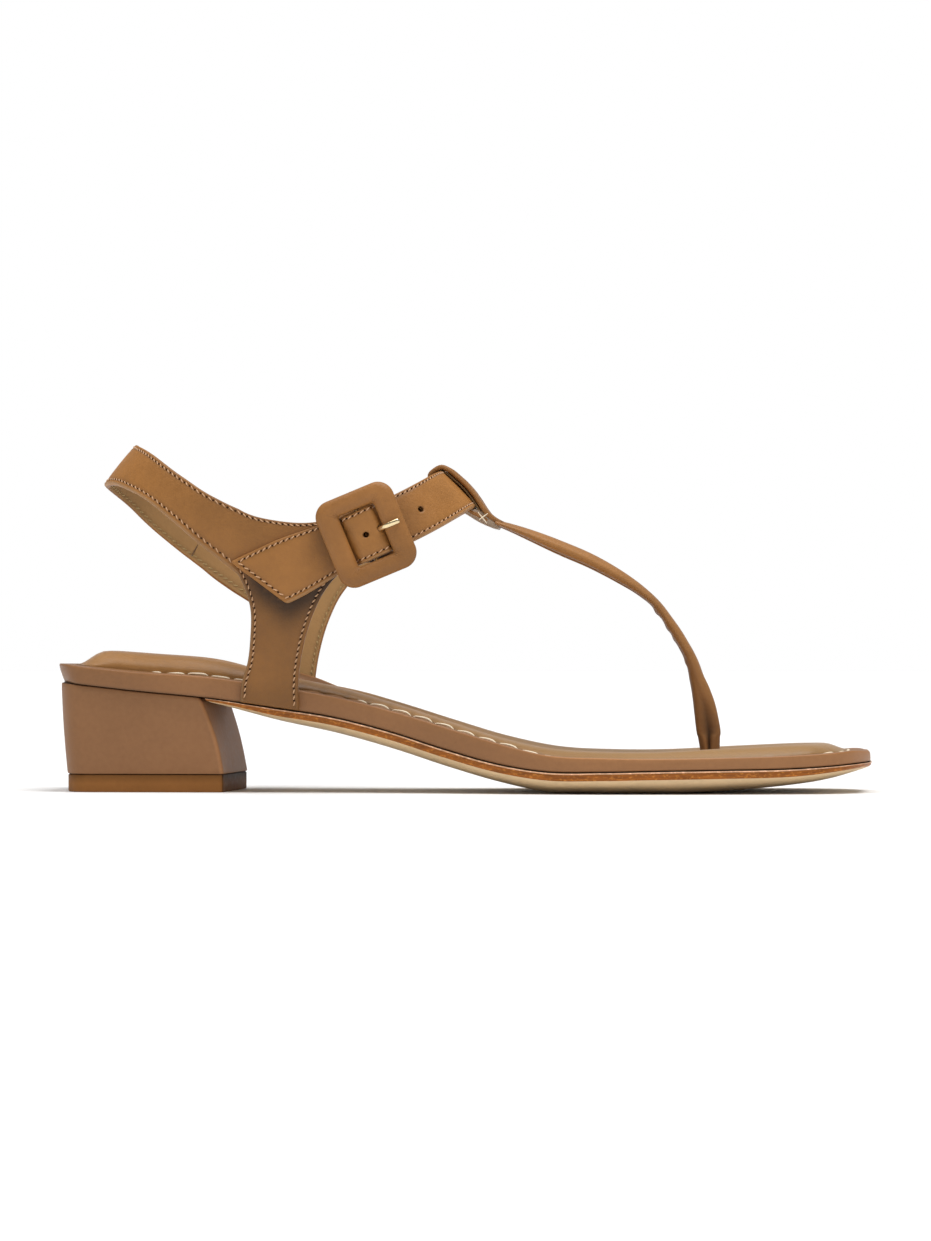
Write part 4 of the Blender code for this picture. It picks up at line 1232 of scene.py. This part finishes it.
def strap_axes(run):
    """Middle point, direction along, direction across and outward normal of the strap there."""
    middle, ahead, behind = (along_line(STRAP_LINE, run + step, STRAP_RUN) for step in (0.0, 1.2, -1.2))
    lean = np.interp(run, STRAP_RUN, STRAP_LEANS)
    across = np.stack([-np.sin(lean), np.zeros_like(lean), np.cos(lean)], axis=-1)
    along = ahead - behind
    along = unit(along - across * (along * across).sum(-1, keepdims=True))
    return middle, along, across, np.cross(along, across)


def strap_bump(run):
    """How far the strap rises over the bar of the buckle."""
    away = np.abs(run - BUCKLE_RUN)
    return BUMP_HEIGHT * (1 - ease((away - BUMP_FLAT) / (BUMP_END - BUMP_FLAT)))


def strap_place(flat, out):
    """Across is 1 at the upper edge and -1 at the lower one, times half the strap's width."""
    run, across = flat.T
    flare = 1 + 2 * STRAP_FLARE / STRAP_WIDTH * ease((-run - FLARE_START) / FLARE_REACH)
    across = across * flare + STRAP_LIFT * ease((-run - LIFT_START) / LIFT_REACH)
    middle, _, wide, normal = strap_axes(run)
    return middle + wide * across[:, None] + normal * (np.asarray(out) + strap_bump(run))[:, None]


# Quarters and sling


def sling_back(z):
    return SLING_BACK + SLING_LEAN * (z - SLING_LOW)


def girth_of(x, z):
    """How far round the heel a point of the side view lies, from the middle of the back."""
    reach = SIDE_START - sling_back(z)
    turn = math.acos(min(1.0, max(0.0, (SIDE_START - x) / reach)))
    return SIDE_GIRTH + x - SIDE_START if x > SIDE_START else SIDE_GIRTH * turn / (math.pi / 2)


def ankle_point(girth, z):
    """A point of the ankle form: girth is negative on the lateral side, and the medial sling hangs lower."""
    far = np.abs(girth)
    turn = np.minimum(far / SIDE_GIRTH, 1) * math.pi / 2
    reach = SIDE_START - sling_back(z)
    x = SIDE_START - reach * np.cos(turn) + np.maximum(far - SIDE_GIRTH, 0)
    y = np.sign(girth) * column(GIRTH, "half", z) * np.sin(turn)
    y *= 1 - np.maximum(x - TAB_BEND_START, 0) ** 2 / TAB_BEND
    behind = ease((BEHIND_START - x) / BEHIND_REACH)
    joining = ease((JOIN_START - x) / JOIN_REACH) * ease((JOIN_TOP - z) / JOIN_REACH)
    slack = ease((girth + 2.7) / 38.7) * (behind + (1 - behind) * SLING_JOIN * joining)
    slack = slack * ease((z - SLACK_LOW) / SLACK_REACH)
    x = x - MEDIAL_BACK * ease((girth - 40) / 15)
    return np.stack([x, y, z - SLING_DROP * slack], axis=-1)


def quarter_place(flat, out):
    girth, z = flat.T
    step = 0.05
    along = ankle_point(girth + step, z) - ankle_point(girth - step, z)
    up = ankle_point(girth, z + step) - ankle_point(girth, z - step)
    return ankle_point(girth, z) + unit(np.cross(up, along)) * np.asarray(out)[..., None]


def mirrored(line):
    return line * (-1, 1)


def under_strap(flat):
    """Painted shadow where the ankle strap's tip shades the lateral quarter."""
    half = STRAP_WIDTH / 2
    corners = np.array([(STRAP_TIP_TOP, half), (STRAP_TIP_LOW, -half), (BUCKLE_RUN, -half)])
    cut = along_line(corners, np.linspace(0, run_of(corners)[-1], 60))
    lower = strap_place(cut, np.zeros(len(cut)))
    x, _, z = quarter_place(flat, np.zeros(len(flat))).T
    below = np.interp(x, lower[:, 0], lower[:, 2]) - z
    near = ease((x - lower[0, 0]) / TIP_SHADE_SIDE)
    depth = TIP_SHADE * near * ease((below + 4) / 4) * (flat[:, 0] < 0)
    # Painted light: the lateral side lighter towards the back of the sling and darker at the foot of the
    # stem.
    light = np.where(flat[:, 0] < 0, 1.17 - 0.35 * ease((x + 105) / 45) - 0.16 * ease((36 - z) / 9), 1.0)
    return light * (1 - depth * hump(np.maximum(below, 0), TIP_SHADE_REACH))


def inside_sling(flat):
    """Painted shade on the lining round the back of the sling."""
    return 0.72 + 0.28 * ease((np.abs(flat[:, 0]) - 12) / 18)


def on_girth(rows):
    """Side-view rows as distance round the heel and height."""
    return [(girth_of(*row), row.z) for row in rows]


def make_quarters():
    spacing = 1.1
    under = trace([(0.0, SLING_UNDER_BACK)] + on_girth(SLING_UNDER), spacing)
    front = trace(on_girth(STEM_FRONT), spacing)
    back = [(0.0, SLING_TOP_BACK), (6.0, SLING_TOP_BACK - 0.2)]
    top = trace(back + on_girth(SLING_TOP), spacing)
    inner_top = top.copy()
    inner_top[:, 1] -= MEDIAL_DIP * hump(top[:, 0] - MEDIAL_DIP_AT, MEDIAL_DIP_REACH)
    foot = trace([under[-1], front[0]], spacing)[1:-1]
    medial_end = trace([front[-1], top[-1]], spacing)[1:-1]
    medial = np.concatenate([under, foot, front, medial_end, inner_top[::-1]])
    tab = on_girth((TAB_LOW, TAB_TOP))
    pairs = ((front[-1], tab[0]), tab, (tab[1], top[-1]))
    tab_end = np.concatenate([trace(pair, spacing)[1:] for pair in pairs])
    lateral = mirrored(np.concatenate([under, foot, front, tab_end[:-1], top[::-1]]))
    edge = np.concatenate([lateral, medial[-2:0:-1]])
    whole_under = np.concatenate([mirrored(under)[::-1], under[1:]])
    whole_top = np.concatenate([mirrored(top)[::-1], inner_top[1:]])[::-1]
    stem = moved_in(front, SEAM_LOW)[1:]
    lines = {
        "sling_under": moved_in(whole_under, SEAM_LOW)[1:-1],
        "sling_top": moved_in(whole_top, SEAM_TOP)[2:-2],
        "stem_medial": stem,
        "stem_lateral": mirrored(stem),
    }
    seams = list(lines.values())
    leather_sheet("quarters", edge, [], quarter_place, seams, whole_under, under_strap, inside_sling)
    join = np.array(on_girth(LINING_JOIN))
    join = along_line(join, np.linspace(0, run_of(join)[-1], 9))
    mark = quarter_place(join, np.full(len(join), -WALL / 2))[None]
    inward = mark - quarter_place(join, np.zeros(len(join)))[None]
    threads("lining_join", mark, unit(inward), 0.5, 0.3, LINING_JOIN_LOOK)
    for name, line in lines.items():
        seam(name, line, quarter_place)


# Ankle strap


def rounded_loop(corners, radius, spacing):
    """A closed loop of straight edges with rounded corners."""
    corners = np.asarray(corners, float)
    points = []
    for before, corner, after in zip(np.roll(corners, 1, axis=0), corners, np.roll(corners, -1, axis=0)):
        start = corner + unit(before - corner) * radius
        end = corner + unit(after - corner) * radius
        t = np.linspace(0, 1, 6)[:, None]
        points.append((1 - t) ** 2 * start + 2 * t * (1 - t) * corner + t**2 * end)
        leave = after + unit(corner - after) * radius
        count = max(2, int(np.linalg.norm(leave - end) / spacing))
        points.append(end + (leave - end) * np.linspace(0, 1, count + 1)[1:-1, None])
    return np.concatenate(points)


def drawn_in(corners, insets):
    """Corners of a polygon whose edges are moved in, each by its own inset; the inside is on the left."""
    corners = np.asarray(corners, float)
    way = unit(np.roll(corners, -1, axis=0) - corners)
    starts = corners + left_of(way) * np.asarray(insets)[:, None]
    made = []
    for i in range(len(corners)):
        gap = starts[i] - starts[i - 1]
        a, b = way[i - 1], way[i]
        made.append(starts[i - 1] + a * (gap[0] * b[1] - gap[1] * b[0]) / (a[0] * b[1] - a[1] * b[0]))
    return np.array(made)


def disc(centre, radius):
    turn = circle(14)
    return np.asarray(centre) + radius * np.stack([np.cos(turn), np.sin(turn)], axis=1)


def beside_buckle(flat):
    """Painted shadow close behind the buckle's frame."""
    away = flat[:, 0] - (BUCKLE_RUN - FRAME_HALF_LONG)
    front = ease((flat[:, 0] - BUCKLE_RUN - FRAME_HALF_LONG) / 10) * ease((15 - flat[:, 0]) / 15)
    # Painted light on the strap ahead of the buckle, up towards the crest.
    return 1 + 0.15 * front - BUCKLE_SHADE * hump(away, BUCKLE_SHADE_REACH)


def make_strap():
    half = STRAP_WIDTH / 2
    corners = [(STRAP_TIP_LOW, -half), (STRAP_SEWN_END, -half), (STRAP_SEWN_END, half), (STRAP_TIP_TOP, half)]
    edge = rounded_loop(corners, STRAP_CORNER, 1.1)
    holes = [disc((BUCKLE_RUN + step, 0), HOLE_RADIUS) for step in HOLE_PLACES]
    line = rounded_loop(drawn_in(corners, (SEAM_LOW, SEAM_LOW, SEAM_TOP, SEAM_LOW)), 0.8, 0.8)
    line = np.concatenate([line, line[:1]])
    leather_sheet("ankle_strap", edge, holes, strap_place, [line], np.array(corners[:2]), beside_buckle)
    centres = np.array([hole.mean(axis=0) for hole in holes])
    middles = strap_place(centres, np.full(len(holes), -0.5))
    _, along, _, out = strap_axes(centres[:, 0])
    pinholes("buckle_holes", middles, out, along, HOLE_RADIUS + 0.1, STRAP_HOLE)
    seam("strap", line, strap_place)


# Thong and loop


def left_side(rows):
    """Unit normal on the left of a side-view line, at each row."""
    return left_of(unit(np.gradient(rows, axis=0)))


def band(name, line, wide, thick, look, nodes=(), tone=1.0):
    """A flat strip with rounded edges along a side-view line; wide and thick may vary along it."""
    left = left_side(line)
    turn = circle(32)
    across = bowed(np.cos(turn), 0.25) / 2
    up = bowed(np.sin(turn), 0.7) / 2
    wide, thick = np.broadcast_arrays(wide, thick, np.empty(len(line)))[:2]
    rise = np.outer(thick, up)
    x = line[:, :1] + left[:, :1] * rise
    z = line[:, 1:] + left[:, 1:] * rise
    sections = np.stack([x, np.outer(wide, across), z], axis=-1)
    loft(name, sections, [look], nodes, shade=np.full(sections.shape[:2], tone))


def make_loop():
    line = trace(LOOP, 0.6)
    run = run_of(line)
    taper = 1 - LOOP_TAPER * ease(1 - np.minimum(run, run[-1] - run) / 8)
    # Painted shade: the loop a little darker than the strap.
    band("thong_loop", line, LOOP_WIDE * taper, LOOP_THICK, STRAP_LEATHER, ("upper",), 0.85)
    # A lining strip inside the loop, painted dark as the shade in the gap between loop and strap.
    outer = trace(LOOP[2:10], 0.6)
    inside = outer + left_side(outer) * (LOOP_THICK + SHADED_LOOP_LINING) / 2
    band("shaded_loop_lining", inside, LOOP_WIDE - 1.6, SHADED_LOOP_LINING, LINING, (), 0.45)
    rows = trace(TAB, 0.5)
    wide = TAB_WIDE - TAB_TAPER * np.linspace(0, 1, len(rows))
    band("loop_tab", rows[:, :2], wide, rows[:, 2], TAB_LEATHER)
    share = np.linspace(0, 1, 7)[:, None]
    lines = []
    for start, end in np.array(TAB_STITCHES):
        flat = start + (end - start) * share
        lines.append(np.column_stack([flat[:, 0], np.full(7, TAB_SIDE), flat[:, 1]]))
    lines = np.array(lines)
    ups = np.broadcast_to((0.0, -1.0, 0.0), lines.shape)
    threads("tab_stitches", lines, ups, SEAM_THREAD, THREAD_FLAT * SEAM_THREAD, CREAM_THREAD)


def thong_side(x):
    return THONG_SIDE * ease((x - THONG_SIDE_START) / THONG_SIDE_REACH)


def make_thong():
    """Oval sections whose edges meet in a seam: underneath at the loop, lateral at the toe post."""
    rows = trace(THONG, 0.9)
    turns = np.radians(np.arange(0, 360, 5.0))
    sections = []
    shade = []
    for (x, z, wide, high, seam_turn, deep, soft), (nx, nz) in zip(rows, left_side(rows[:, :2])):
        seam_at = math.radians(-90 - seam_turn)
        away = (turns - seam_at + math.pi) % (2 * math.pi) - math.pi
        slit = hump(away, math.radians(soft))
        size = 1 - deep * slit
        across = np.cos(turns) * wide / 2 * size
        ripple = sum(amount * hump(z - at, RIPPLE_REACH) for at, amount in THONG_RIPPLES)
        up = np.sin(turns) * high / 2 * size - ripple * np.clip(-np.sin(turns), 0, 1) ** 2
        sections.append(np.column_stack([x + nx * up, thong_side(x) + across, z + nz * up]))
        # Painted light and shade: a painted highlight on the lips of the slit, the slit and the underside
        # darker as shade, the strip lighter near the loop and darker down the post.
        lip = hump(away - math.radians(1.6 * soft), math.radians(0.5 * soft))
        under = 1 - 0.3 * ease(-np.sin(turns) * 1.6 - 0.5)
        light = 0.88 + 0.24 * ease((z - 58) / 16) - 0.2 * ease((34 - z) / 16)
        shade.append(light * (1 - 1.2 * deep * slit) * under + 0.35 * deep * lip)
    loft("thong", sections, [THONG_LEATHER], ("upper",), shade=shade)


# Buckle


def buckle_point(along, across, out):
    """A point of the buckle's own frame, whose middle lies on the strap under the bar."""
    middle, forward, wide, normal = (value[0] for value in strap_axes(np.array([BUCKLE_RUN])))
    turn = math.radians(BUCKLE_TURN)
    first = forward * math.cos(turn) + wide * math.sin(turn)
    second = wide * math.cos(turn) - forward * math.sin(turn)
    along, across, out = (np.asarray(value, float)[..., None] for value in (along, across, out))
    return middle + first * along + second * across + normal * out


def rounded_side(half_long, half_wide, radius):
    """Points round a rounded rectangle, with as many on each side and in each corner whatever its size."""
    points = []
    for corner, (sx, sy) in enumerate(((1, 1), (-1, 1), (-1, -1), (1, -1))):
        middle = np.array([sx * (half_long - radius), sy * (half_wide - radius)])
        turn = np.radians(np.linspace(90 * corner, 90 * corner + 90, CORNER_POINTS))
        points.append(middle + radius * np.stack([np.cos(turn), np.sin(turn)], axis=1))
    loop = []
    for corner in range(4):
        loop.append(points[corner])
        start = points[corner][-1]
        end = points[(corner + 1) % 4][0]
        loop.append(start + (end - start) * np.linspace(0, 1, 14)[1:-1, None])
    return np.concatenate(loop)


def make_buckle_cover():
    near = rounded_side(WINDOW_HALF_LONG, WINDOW_HALF_WIDE, WINDOW_CORNER)
    far = rounded_side(FRAME_HALF_LONG, FRAME_HALF_WIDE, FRAME_CORNER)
    turn = circle(28)
    across = bowed(np.cos(turn), 0.8)
    up = bowed(np.sin(turn), 0.85)
    plan = (near + far)[:, None] / 2 + (far - near)[:, None] / 2 * across[:, None]
    step = np.arange(CORNER_POINTS)
    fold = np.sin(math.pi * (step + 0.5) / CORNER_POINTS) * np.cos(2 * math.pi * step / PUCKER_STEPS) ** 2
    pucker = np.tile(np.concatenate([fold, np.zeros(len(near) // 4 - CORNER_POINTS)]), 4)
    sunk = PUCKER_DEEP * np.outer(pucker, np.clip(0.1 - across, 0, 1) * np.clip(up + 0.3, 0, 1))
    sections = buckle_point(plan[..., 0], plan[..., 1], FRAME_LEVEL + FRAME_THICK / 2 * up - sunk)
    # Painted shade: the frame's lower half darker.
    tone = 1 - FRAME_SHADE * ease(-plan[..., 1] / FRAME_HALF_WIDE)
    loft("buckle_cover", sections, [BUCKLE_LEATHER], ("buckle_frame",), True, tone)


def make_prong():
    """The prong hooked round the bar; the bar itself keeps its solid and gets brass painted dark as the shade
    it sits in.
    """
    turn = np.radians((180, 216, 252, 288, 324))
    hook = list(zip(PRONG_HOOK * np.cos(turn), BAR_LEVEL + PRONG_HOOK * np.sin(turn)))
    line = trace(hook + PRONG, 0.35)
    left = left_side(line)
    turn = circle(16)
    from_end = run_of(line)[-1] - run_of(line)
    end = np.sqrt(np.clip((from_end + 0.1) / 0.5, 0.02, 1))[:, None]
    rise = PRONG_RISE * bowed(np.cos(turn), 1.25) * end
    side = PRONG_HALF * bowed(np.sin(turn), 0.85) * end
    sections = buckle_point(line[:, :1] + left[:, :1] * rise, side, line[:, 1:] + left[:, 1:] * rise)
    loft("prong", sections, [PALE_GOLD], ("buckle_prong",))
    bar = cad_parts["buckle_bar"].data
    bar.materials.clear()
    bar.materials.append(SHADED_BRASS)


# Studio


def soft_light(name, place, spread_degrees, strength):
    """A wide soft box far away, so that the floor is lit evenly."""
    data = bpy.data.lights.new(name, "SUN")
    data.angle = math.radians(spread_degrees)
    data.energy = strength
    made = bpy.data.objects.new(name, data)
    made.location = place
    made.rotation_euler = (-Vector(place)).to_track_quat("-Z", "Y").to_euler()
    bpy.context.scene.collection.objects.link(made)


def make_world():
    """White round the horizon, so that floor and background run together, and softer light overhead."""
    world = bpy.data.worlds.new("studio")
    world.use_nodes = True
    sky = Nodes(world.node_tree)
    way = sky.add("TexCoord").outputs["Generated"]
    height = sky.add("SeparateXYZ", Vector=way).outputs["Z"]
    white = (1.0, 1.0, 1.0)
    dim = scaled(white, SKY_LEVEL)
    colour = sky.ramp(height, [(0.0, white), (0.16, white), (0.3, dim), (1.0, dim)])
    sky.put(world.node_tree.nodes["Background"], {"Color": colour})
    bpy.context.scene.world = world


def make_studio():
    mesh = bpy.data.meshes.new("floor")
    reach = 30.0
    corners = [(-reach, -reach, 0), (reach, -reach, 0), (reach, reach, 0), (-reach, reach, 0)]
    mesh.from_pydata(corners, [], [(0, 1, 2, 3)])
    mesh.materials.append(plain("floor", (0.92, 0.92, 0.92), 0.7))
    floor = bpy.data.objects.new("floor", mesh)
    bpy.context.scene.collection.objects.link(floor)
    make_world()
    soft_light("top", *TOP_LIGHT)
    soft_light("key", *KEY_LIGHT)
    data = bpy.data.cameras.new("camera")
    data.lens = CAMERA_LENS
    data.clip_end = 100
    camera = bpy.data.objects.new("camera", data)
    camera.location = Vector(CAMERA_PLACE) * MM
    aim = (Vector(CAMERA_AIM) - Vector(CAMERA_PLACE)) * MM
    camera.rotation_euler = aim.to_track_quat("-Z", "Y").to_euler()
    bpy.context.scene.collection.objects.link(camera)
    bpy.context.scene.camera = camera
    bpy.context.scene.view_settings.view_transform = "Standard"


make_studio()
make_rim()
make_foot_bed()
make_bed_stitches()
make_outsole()
make_heel()
make_top_piece()
make_quarters()
make_strap()
make_loop()
make_thong()
make_buckle_cover()
make_prong()
